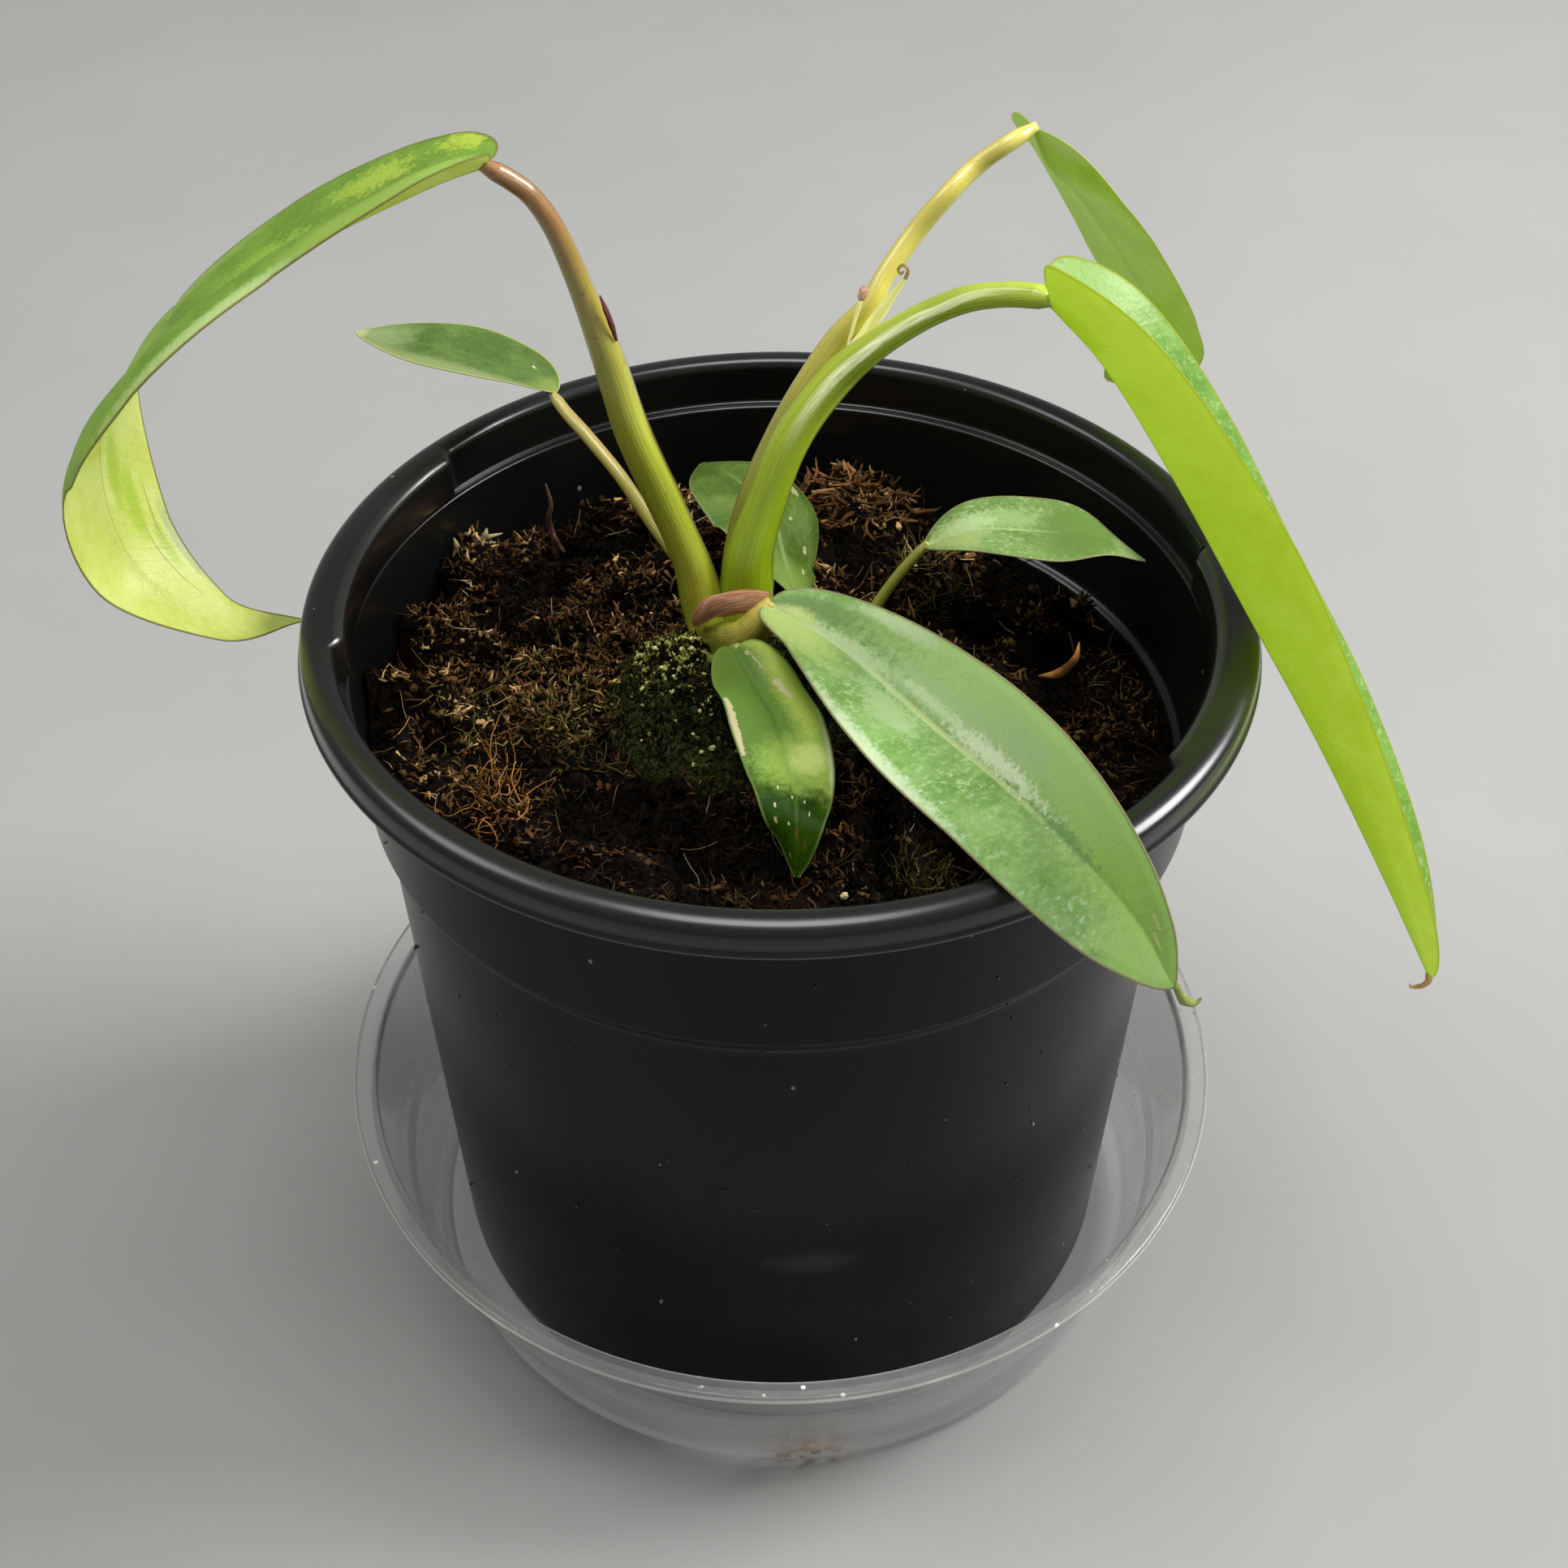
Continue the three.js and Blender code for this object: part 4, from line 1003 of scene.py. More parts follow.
stalk_finish("stalk_left", (186, 194, 58), (156, 112, 64), (104, 66, 56), (112, 64, 46), (0.3, 0.8), 0.9)
RIGHT_EDGES = [(104, 104, 46), (128, 142, 44)]
stalk_finish("stalk_right", (152, 178, 24), (188, 208, 60), *RIGHT_EDGES, (0.1, 0.6), 0.15, 1.0)
stalk_finish("stalk_back", (152, 152, 62), (226, 210, 98), (128, 90, 70), (206, 150, 100), (0.25, 0.6), 0.3)
stalk_finish("stalk_small", (170, 172, 64), (166, 168, 72), (150, 130, 70), (160, 150, 84), (0.2, 0.8), 0.2)
stalk_finish("stalk_thin", (150, 142, 48), (176, 160, 78), (140, 92, 52), (152, 108, 62), (0.2, 0.8), 0.6)
stalk_finish("sheath_yellow", (148, 148, 44), (216, 196, 80), (150, 92, 60), (170, 104, 70), (0.3, 0.9), 0.5)

# %% Stalks
STALKS = {
    "petiole_right": {
        "line": [
            [-5, 7.5, 100], [-4.5, 8, 107], [-4, 9, 113], [-2, 11, 119], [0.5, 13, 125.5],
            [3.5, 14.5, 130.5], [7.5, 15.5, 135.5], [11, 14.5, 139.5], [14, 13.5, 142.5], [18, 12, 146],
            [22, 9, 149.5], [26, 6.5, 151.5], [29, 4.5, 152.5], [30.5, 3, 153],
        ],
        "radius": [2.4, 2.5, 2.5, 2.5, 2.4, 2.3, 2.2, 1.9, 1.75, 1.65, 1.6, 1.5, 1.5, 1.4],
        "finish": "stalk_right", "ridge": 0.1, "flare": 0.4,
    },
    "petiole_back": {
        "line": [
            [-6.5, 8, 100], [-6, 10, 109], [-5, 12, 114], [-3, 13.5, 120.5], [0, 16, 126.5],
            [3, 17.5, 132], [7, 19.5, 138], [11, 20, 142.5], [13, 22, 145.5], [16.5, 25, 149.5],
            [20.5, 26.5, 154], [24, 29, 156.5], [27.5, 29.5, 159], [30.5, 31.5, 160],
        ],
        "radius": [1.5, 1.7, 1.8, 1.8, 1.8, 1.7, 1.5, 1.4, 1.3, 1.3, 1.25, 1.2, 1.1, 1],
        "finish": "stalk_back", "ridge": 0.08,
    },
    "petiole_left": {
        "line": [
            [-8.5, 6.5, 100], [-10, 7, 106], [-11.5, 7.5, 113], [-14.5, 8, 121.5], [-18, 7.5, 132],
            [-20.5, 8, 142], [-23, 8, 151], [-25.5, 8, 158.5], [-28, 8, 163], [-30.5, 7.5, 165.5],
            [-32.5, 7, 167],
        ],
        "radius": [1.8, 1.9, 2.1, 2.2, 2.15, 1.95, 1.5, 1.3, 1.2, 1.15, 1.1],
        "finish": "stalk_left", "ridge": 0.12, "flare": 0.5, "slot": "stalk_red",
    },
    "petiole_front": {
        "line": [[-7, 4.5, 101.5], [-6.5, 1, 104.5], [-4.5, -0.5, 107], [-2.5, -1, 110], [-1.5, -0.5, 111.5]],
        "radius": [2.2, 2.5, 2.4, 1.8, 1.3],
        "finish": "sheath_yellow",
    },
    "petiole_hanging": {
        "line": [[-8.5, 4.5, 101], [-8.5, -0.5, 103], [-7, -4.5, 106.5], [-5.5, -6.5, 109.5]],
        "radius": [1, 1, 0.9, 0.8],
        "finish": "stalk_small",
    },
    "petiole_small_left": {
        "line": [
            [-8.5, 8, 100.5], [-11, 10.5, 105.5], [-13, 13, 108.5], [-17, 17.5, 112], [-21, 22, 116],
            [-25.5, 27, 119], [-28.5, 30.5, 120.5], [-30, 32.5, 121.5],
        ],
        "radius": [0.95, 0.9, 0.9, 0.9, 0.9, 0.9, 0.85, 0.8],
        "finish": "stalk_thin",
    },
    "petiole_small_back": {
        "line": [[-5, 8, 101], [-2, 10.5, 102], [0.5, 11.5, 103], [2, 12, 103.5]],
        "radius": [0.9, 0.9, 0.85, 0.8],
        "finish": "stalk_small",
    },
    "petiole_small_right": {
        "line": [[6.5, 10, 88], [10.5, 14, 95.5], [13, 16, 99.5], [16, 17, 104], [19, 18, 107.5]],
        "radius": [0.9, 0.85, 0.8, 0.75, 0.7],
        "finish": "stalk_small",
    },
    "crown": {
        "line": [[-7, 6, 84], [-7, 6, 94], [-7, 6.2, 103.6]],
        "radius": [2.6, 3.2, 3.2],
        "finish": "stalk_small", "into_blade": 0.0,
    },
}


def stalk(node, line, radius, finish, slot="stalk_green", ridge=0.0, flare=0.0, into_blade=0.9):
    """Ring radius = eased radius x (1 + ridge exp(-((angle - pi) / 0.35)^2), fading upwards), and
    1 + flare times wider where the stalks meet at the crown."""
    points, sides = 100, 24
    share = np.linspace(0, 1, points)
    angle = np.arange(sides) * 2 * np.pi / sides
    path = spline(line, share)
    path += eased(share, 0.96, 1)[:, None] * heading(line, share) * into_blade
    round_radius = np.interp(share, np.linspace(0, 1, len(radius)), radius)
    round_radius *= 1 - 0.35 * eased(share, 0.96, 1) * (into_blade > 0)
    round_radius *= 1 + flare * (1 - eased(share, 0.06, 0.26))
    rib = ridge * np.exp(-(((angle - np.pi) / 0.35) ** 2)) * (1 - eased(share, 0.4, 0.62))[:, None]
    radii = round_radius[:, None] * (1 + rib)
    vertices, faces = tubes(path[None], radii[None], sides)
    fields = {
        "along": np.repeat(share, sides),
        "right": np.tile(-np.cos(angle), points),
        "front": np.tile(np.sin(angle), points),
    }
    return piece("stalk_" + node, vertices, faces, finish, slot, fields, [node])


for node, values in STALKS.items():
    stalk(node, **values)

# %% [markdown]
# Where a leaf has unfolded, the sheath that wrapped it dries to a thin brown strip. The broad one
# lies across the crown, and is wrinkled along its length; small pointed tips stand off the two
# long stalks, and one has curled into a hook.
# The thin strips and tips glow a little by themselves, a painted glow.

# %% Dry sheaths
def dry_finish(name, dark, light, glow=0.0):
    """Two colours by wrinkles along the strip; glow is how strongly the strip glows by itself, a painted
    glow.
    """
    paint = Paint(name)
    along, right, front = (paint.attribute(field) for field in ("along", "right", "front"))
    wrinkles = paint.noise(paint.vector(right * 5, front * 5, along * 2.5), 1.6, 4.0, 0.65)
    colour = paint.mix(paint.step(wrinkles, 0.35, 0.68), shade(*dark), shade(*light))
    normal = paint.bump(wrinkles, 0.0005, 0.9)
    # Emission makes the strip glow by itself, as strong as glow: a painted glow.
    values = {"Base Color": colour, "Roughness": 0.6, "Normal": normal, "Emission Color": colour}
    paint.finish(paint.shader({**values, "Emission Strength": glow}))


dry_finish("sheath_brown", (158, 90, 58), (230, 176, 132), 0.05)
dry_finish("sheath_red", (96, 28, 32), (176, 92, 88))
dry_finish("sheath_pink", (204, 110, 112), (246, 220, 180), 0.2)
dry_finish("sheath_pale", (222, 222, 112), (250, 248, 176), 0.5)
dry_finish("tip_brown", (150, 106, 56), (232, 204, 124), 0.3)
dry_finish("drip_green", (128, 146, 62), (206, 216, 122), 0.05)


def sheath(name, line, radius, finish, slot, flat=0.45, stands_for=(), sides=16, points=60, wrinkle=0.06):
    """A flattened tube: radius / sqrt(cos^2 + (sin / flat)^2), with ridges along it."""
    share = np.linspace(0, 1, points)
    angle = np.arange(sides) * 2 * np.pi / sides
    oval = 1 / np.sqrt(np.cos(angle) ** 2 + (np.sin(angle) / flat) ** 2)
    folds = 1 + wrinkle * np.sin(5 * angle + 3 * np.sin(7 * share)[:, None])
    radii = np.interp(share, np.linspace(0, 1, len(radius)), radius)[:, None] * oval * folds
    vertices, faces = tubes(spline(line, share)[None], radii[None], sides)
    fields = {
        "along": np.repeat(share, sides),
        "right": np.tile(-np.cos(angle), points),
        "front": np.tile(np.sin(angle), points),
    }
    return piece(name, vertices, faces, finish, slot, fields, stands_for)


STRAP_FORM = ("dry_sheath", 0.42, ["sheath_strap"])
STRAP = [
    [-10.4, 2.8, 106.2], [-10, 0.9, 108.6], [-8.6, 0.3, 110.7], [-6.2, 0.2, 111.6], [-3.6, 0.6, 111.7],
    [-1.6, 1, 111.2],
]
sheath("dry_strap", STRAP, [0.5, 1.3, 1.6, 1.6, 1.5, 1.2], "sheath_brown", *STRAP_FORM)
COLLAR = [[-9.4, 1.4, 105.6], [-7, -0.6, 106.6], [-4.2, -1.4, 107.6], [-1.6, -1.6, 109.4]]
sheath("collar", COLLAR, [1.2, 2.3, 2.4, 1.2], "sheath_yellow", "stalk_green", 0.6, wrinkle=0.02)
HOOK = [[9.5, 18, 137.5], [10.5, 18, 139.5], [12.3, 18, 142.6], [14, 18, 145.4], [15.2, 18, 147.3]]
HOOK_RING = [
    [15.2, 18, 147.2], [15.5, 18, 148.3], [14.9, 18, 149.1], [14.3, 18, 148.5], [14.6, 18, 147.9],
    [15, 18, 148.2],
]
sheath("hooked_sheath", HOOK, [1, 0.95, 0.8, 0.5, 0.28], "sheath_pale", "stalk_green", 0.4, ["cataphyll"])
sheath("hook_ring", HOOK_RING, [0.28, 0.22, 0.2, 0.2, 0.18, 0.12], "tip_brown", "stalk_green", 0.7)
LEFT_TIP = [[-19.3, 7.2, 145], [-19.7, 6.8, 147.2], [-20.3, 6.6, 149.4], [-20.9, 6.8, 151.2]]
sheath("sheath_tip_left", LEFT_TIP, [0.2, 0.36, 0.34, 0.1], "sheath_red", "stalk_red", 0.6)
BACK_TIP = [[9.8, 17.6, 144.3], [10, 17.6, 145], [10.2, 17.8, 145.8], [10.3, 18, 146.4]]
sheath("sheath_tip_back", BACK_TIP, [0.2, 0.6, 0.62, 0.15], "sheath_pink", "stalk_green", 0.6)
BACK_FOLD = [[8.2, 16.6, 138.4], [8.9, 16.9, 141], [9.8, 17.3, 144.5]]
sheath("sheath_fold_back", BACK_FOLD, [0.1, 0.24, 0.3], "sheath_pale", "stalk_green", 0.6)

# %% [markdown]
# A blade is one surface in two parameters: t runs from base to tip along a midrib, and v from -1
# at the left edge to +1 at the right. Half-width times |sin(pi t^belly)|^taper gives the
# outline, a fold angle lifts both halves into a V, and droop bends them down again.

# %% Blade shapes
BLADES = {
    "blade_left": {
        "midrib": [
            [-32.5, 7, 167.5], [-40.5, 6.5, 164.5], [-57, 6, 156], [-71, -1, 148], [-81.5, 2.5, 134.5],
            [-81, 1.5, 118], [-71, 0, 109], [-61.5, 6.5, 104],
        ],
        "across": [[60, -24], [60, -12], [62, -4], [58, 6], [60, 18], [62, 18], [78, 6], [94, -6]],
        "half_width": [12.75, 13.5], "fold": [37, -4], "droop": [0.52, 0.04], "lobe": 8.5, "belly": 0.64,
        "taper": 0.87,
    },
    "blade_back": {
        "midrib": [
            [31, 32, 160], [34, 35.5, 153], [39, 40, 146.5], [48, 45, 132.5], [52.5, 49.5, 121.5],
            [46.5, 53, 112],
        ],
        "across": [[-50, -6], [-54, -8], [-52, -12], [-50, -12], [-46, -12], [-42, -12]],
        "half_width": [12.25, 13.5], "fold": [18, -10], "droop": [0.02, 0.03], "lobe": 0, "belly": 0.78,
        "taper": 0.74,
    },
    "blade_right": {
        "midrib": [
            [31, 2.5, 152.5], [38, -1.5, 146], [47.5, -3.5, 131.5], [56.5, -7.5, 117], [67, -13.5, 100.5],
            [77.5, -19, 82], [86, -20.5, 65.5],
        ],
        "across": [[-72, -8], [-82, -4], [-86, 2], [-86, 6], [-92, 4], [-100, 6], [-104, 10]],
        "half_width": [12.5, 12.5], "fold": [38, 44], "droop": [-0.04, -0.04], "lobe": 14.5, "belly": 0.73,
        "taper": 0.57,
    },
    "blade_front": {
        "midrib": [
            [-1.5, -1, 112], [7.5, -7.5, 110.5], [17, -23, 112], [26.5, -41, 115.5], [36, -61.5, 118.5],
            [39.5, -72, 118],
        ],
        "across": [[-132, 2], [-120, 2], [-108, -6], [-94, -8], [-78, -10], [-80, -14]],
        "half_width": [9.5, 9.75], "fold": [15, 19], "droop": [-0.02, -0.02], "lobe": 4, "belly": 0.85,
        "taper": 0.58,
    },
    "blade_hanging": {
        "midrib": [
            [-5.5, -7, 110], [-3, -12, 108], [-0.5, -18, 107.5], [1.5, -26, 106], [2, -33, 104.5],
            [2, -36.5, 99],
        ],
        "across": [[170, 14], [164, 12], [160, 12], [156, 10], [150, 8], [144, 6]],
        "half_width": [6, 6.25], "fold": [18, -8], "droop": [0.05, 0.05], "lobe": 3, "belly": 0.68,
        "taper": 0.66,
    },
    "blade_small_left": {
        "midrib": [
            [-30, 33, 122], [-36, 37.5, 122.5], [-43, 40.5, 123.5], [-51, 43, 124], [-58, 44.5, 124.5],
        ],
        "across": [[92, -10], [90, -6], [88, -4], [86, -4], [84, -6]],
        "half_width": [7.25, 7], "fold": [12, 3], "droop": [0.01, 0.01], "lobe": 0.5, "belly": 0.87,
        "taper": 0.72,
    },
    "blade_small_back": {
        "midrib": [[2, 12, 103.5], [0.5, 19, 105], [-1.5, 25.5, 108], [-7, 31.5, 110], [-11, 38, 107.5]],
        "across": [[86, -18], [68, -12], [50, -8], [36, -2], [22, 6]],
        "half_width": [8.75, 8.5], "fold": [-8, 2], "droop": [0.1, 0.1], "lobe": 0, "belly": 0.88,
        "taper": 0.75,
    },
    "blade_small_right": {
        "midrib": [[19, 18, 107.5], [26, 19, 109.5], [35, 18.5, 109.5], [42, 18, 109], [48.5, 17, 106]],
        "across": [[-90, 6], [-84, 6], [-78, 4], [-72, 4], [-66, 2]],
        "half_width": [8.25, 8.25], "fold": [10, 1], "droop": [0.03, 0.03], "lobe": 0, "belly": 0.87,
        "taper": 0.77,
    },
}


def toward(bearings_and_rises):
    """Unit vectors from compass bearings and rises above level, in degrees."""
    bearing, rise = np.radians(bearings_and_rises).T
    return np.stack([np.cos(rise) * np.cos(bearing), np.cos(rise) * np.sin(bearing), np.sin(rise)], axis=1)


# %% A blade's middle surface and its two faces
RIB_DEPTH = 0.22
RIB_WIDTH = 0.55
KEEL = 0.06


def blade_sheet(blade, t, v):
    """Centre + side v reach cos(fold) + up (|v| reach sin(fold) - droop outline half v^2)
    - along lobe outline (1 - t)^8 |v|^1.5, on every pair of t and v."""
    centre = spline(blade["midrib"], t)[:, None]
    along = heading(blade["midrib"], t)[:, None]
    side = spline(toward(blade["across"]), t)[:, None]
    side = unit(side - along * (side * along).sum(-1, keepdims=True))
    up = np.cross(side, along)
    outline = (np.abs(np.sin(np.pi * t ** blade["belly"])) ** blade["taper"])[:, None, None]
    half = np.where(v < 0, *blade["half_width"])[None, :, None]
    off = np.abs(v)[None, :, None]
    reach = np.maximum(outline * half, 0.5)
    fold = np.radians(blade["fold"][0] + (blade["fold"][1] - blade["fold"][0]) * t)[:, None, None]
    droop = np.where(v < 0, *blade["droop"])[None, :, None] * outline * half * off**2
    back = blade["lobe"] * outline * (1 - t[:, None, None]) ** 8 * off**1.5
    sheet = centre + side * np.sign(v)[None, :, None] * off * reach * np.cos(fold)
    return sheet + up * (off * reach * np.sin(fold) - droop) - along * back, reach[..., 0]


def blade_piece(node, finish, slot, rows=124, columns=44, thickness=0.46):
    """Both faces stand off the middle sheet by a thickness that falls to a thin edge. The upper one
    has a groove over the midrib, and the lower a keel under it."""
    blade = BLADES[node]
    t = 0.002 + 0.996 * (0.5 - 0.5 * np.cos(np.linspace(0, np.pi, rows)))
    v = np.sin(np.linspace(-1, 1, columns + 1) * np.pi / 2) * 0.35 + np.linspace(-1, 1, columns + 1) * 0.65
    sheet, reach = blade_sheet(blade, t, v)
    normal = unit(np.cross(np.gradient(sheet, axis=1), np.gradient(sheet, axis=0)))
    off = np.abs(v) * reach
    edge = (1 - np.abs(v)) * reach
    half = 0.5 * thickness * (0.3 + 0.7 * eased(edge, 0, 1.6))
    rib = np.exp(-((off / RIB_WIDTH) ** 2)) * (1 - t[:, None]) ** 0.6 * eased(reach, 0.5, 3)
    run = np.cumsum(np.linalg.norm(np.gradient(sheet[:, columns // 2], axis=0), axis=1))
    upper = sheet + normal * (half - RIB_DEPTH * rib)[..., None]
    lower = sheet - normal * (half + KEEL * rib)[..., None]
    vertices = np.concatenate([upper, lower]).reshape(-1, 3)
    count = rows * (columns + 1)
    index = np.arange(count).reshape(rows, columns + 1)
    faces = net(rows, columns + 1)
    loop = np.concatenate([index[0], index[1:, -1], index[-1, -2::-1], index[-2:0:-1, 0]])
    after = np.roll(loop, -1)
    rim = np.stack([loop, loop + count, after + count, after], axis=1)
    both = [faces, (faces + count)[:, ::-1], rim]
    fields = {
        "along": np.tile(np.repeat(t, columns + 1), 2),
        "across": np.tile(np.tile(v, rows), 2),
        "run": np.tile(np.repeat(run, columns + 1), 2),
        "off_rib": np.tile(off.ravel(), 2),
        "edge": np.tile(edge.ravel(), 2),
        "upper": np.repeat([1.0, 0.0], count),
    }
    return piece("leaf_" + node, vertices, both, finish, slot, fields, [node])


# %% [markdown]
# The upper face of a leaf is darker and waxy, the lower one pale and matt. Both have a lighter
# midrib, faint side veins that sweep towards the tip, a fine grain and a thin coloured margin.
# Leaves also let light through, so a Translucent shader takes a share of each.
# Pale flecks and many marks are painted sheen and highlights; some lower faces have a painted glow.

# %% Leaf finish
def leaf_finish(
    name, upper, lower, rib, margin, glow, marks=(), painted_sheen_flecks=0.0, rib_width=0.5, through=0.28, lit_under=0.0,
    shine=0.5,
):
    """upper, lower and rib are pairs of colours; marks are [along, across, length, width, colour,
    upper or lower, raggedness, share of the mark that fades]."""
    paint = Paint(name)
    place = paint.place()
    along, across, run, off_rib, edge, top = (
        paint.attribute(f) for f in ("along", "across", "run", "off_rib", "edge", "upper")
    )
    mottle = paint.noise(place, 150.0, 4.0, 0.6)
    grain = paint.noise(place, 1900.0, 3.0, 0.6)
    speckle = paint.noise(place, 700.0, 4.0, 0.65)
    streak = paint.noise(paint.vector(run * 0.3, across * 7, top * 7), 1.0, 4.0, 0.6)
    sweep = run - off_rib * 0.75 + mottle * 1.6
    veins = (sweep * 3.1).calc("SINE") * 0.5 + 0.5
    vein_line = paint.step(veins, 0.8, 1.0)
    soft = paint.step(mottle * 0.8 + streak * 0.2, 0.36, 0.64)
    upper_colour = paint.mix(soft, shade(*upper[0]), shade(*upper[1]))
    lower_colour = paint.mix(soft, shade(*lower[0]), shade(*lower[1]))
    colour = paint.mix(top, lower_colour, upper_colour)
    colour = paint.mix(vein_line * 0.05, colour, shade(*upper[1]))
    lighter = paint.mix(1.0, colour, (1, 1, 1, 1), "SOFT_LIGHT")
    darker = paint.mix(1.0, colour, (0.1, 0.1, 0.1, 1), "SOFT_LIGHT")
    colour = paint.mix((1 - paint.step(speckle, 0.3, 0.5)) * 0.3, colour, darker)
    colour = paint.mix(paint.step(grain * 0.6 + speckle * 0.4, 0.5, 0.7) * 0.45, colour, lighter)
    rib_colour = paint.mix(top, shade(*rib[1]), shade(*rib[0]))
    narrowing = off_rib * (along * 1.4 + 1)
    on_rib = (1 - paint.step(narrowing, rib_width * 0.6, rib_width * 1.5)) * (1 - paint.step(along, 0.4, 1.0))
    colour = paint.mix(on_rib * 0.85, colour, rib_colour)
    # Pale flecks of painted sheen on the upper face.
    if painted_sheen_flecks:
        painted_sheen_fleck = paint.step(paint.noise(place, 1100.0, 4.0, 0.7), 0.5, 0.68)
        area = paint.step(paint.noise(place, 90.0, 2.0), 0.36, 0.62) * 0.6 + 0.4
        colour = paint.mix(painted_sheen_fleck * area * top * painted_sheen_flecks, colour, shade(206, 230, 176))
    for mark_along, mark_across, length, width, mark_colour, face, ragged, fade in marks:
        dx = (along - mark_along) * (1 / length) + (speckle - 0.5) * ragged
        dy = (across - mark_across) * (1 / width) + (grain - 0.5) * ragged
        spot = 1 - paint.step(dx ** 2.0 + dy ** 2.0, 1 - fade, 1.0)
        on_face = top if face == "upper" else 1 - top
        colour = paint.mix(spot * on_face, colour, shade(*mark_colour))
    on_edge = 1 - paint.step(edge, 0.1, 0.42)
    colour = paint.mix(on_edge * 0.9, colour, shade(*margin))
    roughness = paint.step(grain * 0.5 + mottle * 0.5, 0.3, 0.8) * 0.18 + 0.34
    fine = paint.bump(grain, 0.0001, 0.8)
    normal = paint.bump(vein_line, 0.00005, 0.25, fine)
    values = {"Base Color": colour, "Roughness": roughness, "Normal": normal, "Specular IOR Level": shine}
    # The lower face glows a little by itself, as strong as lit_under: a painted glow.
    values["Emission Color"] = paint.mix(top, colour, (0, 0, 0, 1))
    values["Emission Strength"] = lit_under
    body = paint.shader(values)
    lit = paint.node("ShaderNodeBsdfTranslucent", None, {"Color": shade(*glow)})
    paint.finish(paint.node("ShaderNodeMixShader", None, {0: through, 1: body, 2: lit}))


# %% The eight leaves
LEMON = (196, 212, 84)
CREAM = (226, 216, 168)
# Two colours of painted sheen.
PAINTED_SHEEN = (204, 226, 172)
DULL_PAINTED_SHEEN = (176, 206, 144)
leaf_finish(
    "leaf_left", [(86, 130, 50), (114, 154, 66)], [(222, 232, 112), (238, 246, 146)],
    [(140, 166, 80), (176, 152, 84)], (120, 94, 60), (212, 234, 114),
    [
        [0.09, 0.8, 0.06, 0.26, (190, 208, 78), "upper", 2.4, 1.0],
        [0.2, 0.58, 0.05, 0.26, (178, 202, 82), "upper", 2.8, 1.0],
        [0.3, 0.25, 0.05, 0.24, (148, 186, 80), "upper", 2.8, 1.0],
        [0.16, -0.9, 0.14, 0.3, (156, 186, 92), "upper", 0.8, 1.0],
        [0.55, 0.4, 0.16, 0.9, (140, 170, 92), "upper", 0.8, 1.0],
        [0.4, 0.9, 0.14, 0.2, (150, 176, 104), "upper", 0.8, 1.0],
        # A painted sheen along the near edge:
        [0.36, -0.96, 0.14, 0.14, (190, 214, 150), "upper", 1.0, 1.0],
        [0.62, 0.25, 0.06, 0.16, (196, 218, 84), "lower", 1.2, 1.0],
        [0.67, 0.45, 0.06, 0.16, (196, 220, 84), "lower", 1.2, 1.0],
        [0.74, 0.68, 0.05, 0.14, (196, 218, 90), "lower", 1.2, 1.0],
        [0.75, 0.9, 0.1, 0.12, (196, 202, 150), "lower", 1.2, 1.0],
        [0.76, 0.5, 0.09, 0.016, (190, 150, 96), "lower", 0.5, 1.0],
        [0.7, 0.7, 0.07, 0.014, (190, 150, 96), "lower", 0.5, 1.0],
    ], rib_width=0.12, through=0.36, lit_under=0.24,
)
leaf_finish(
    "leaf_back", [(84, 132, 40), (112, 160, 56)], [(182, 202, 94), (208, 226, 116)],
    [(150, 170, 90), (158, 140, 86)], (206, 200, 130), (196, 226, 94),
    [
        [0.05, 0.7, 0.06, 0.7, (226, 226, 176), "lower", 0.8, 1.0],
        [0.3, 0.0, 0.3, 0.25, (170, 184, 92), "lower", 0.8, 1.0],
    ], through=0.42, lit_under=0.08,
)
leaf_finish(
    "leaf_right", [(86, 142, 66), (130, 178, 100)], [(200, 228, 82), (216, 240, 104)],
    [(150, 180, 90), (160, 184, 60)], (158, 166, 60), (230, 248, 106),
    [
        [0.0, 1.0, 0.02, 0.15, (110, 60, 40), "lower", 1.0, 0.5],
        # A painted sheen near the base of the upper face:
        [0.1, -0.8, 0.16, 0.5, (160, 194, 124), "upper", 1.8, 1.0],
        [0.22, 0.75, 0.16, 0.5, (228, 246, 112), "lower", 1.0, 1.0],
        [0.07, 0.15, 0.09, 0.3, (168, 196, 60), "lower", 1.0, 1.0],
        [0.8, 0.1, 0.24, 0.4, (172, 200, 66), "lower", 1.0, 1.0],
    ], painted_sheen_flecks=0.9, rib_width=0.2, through=0.46, lit_under=0.12,
)
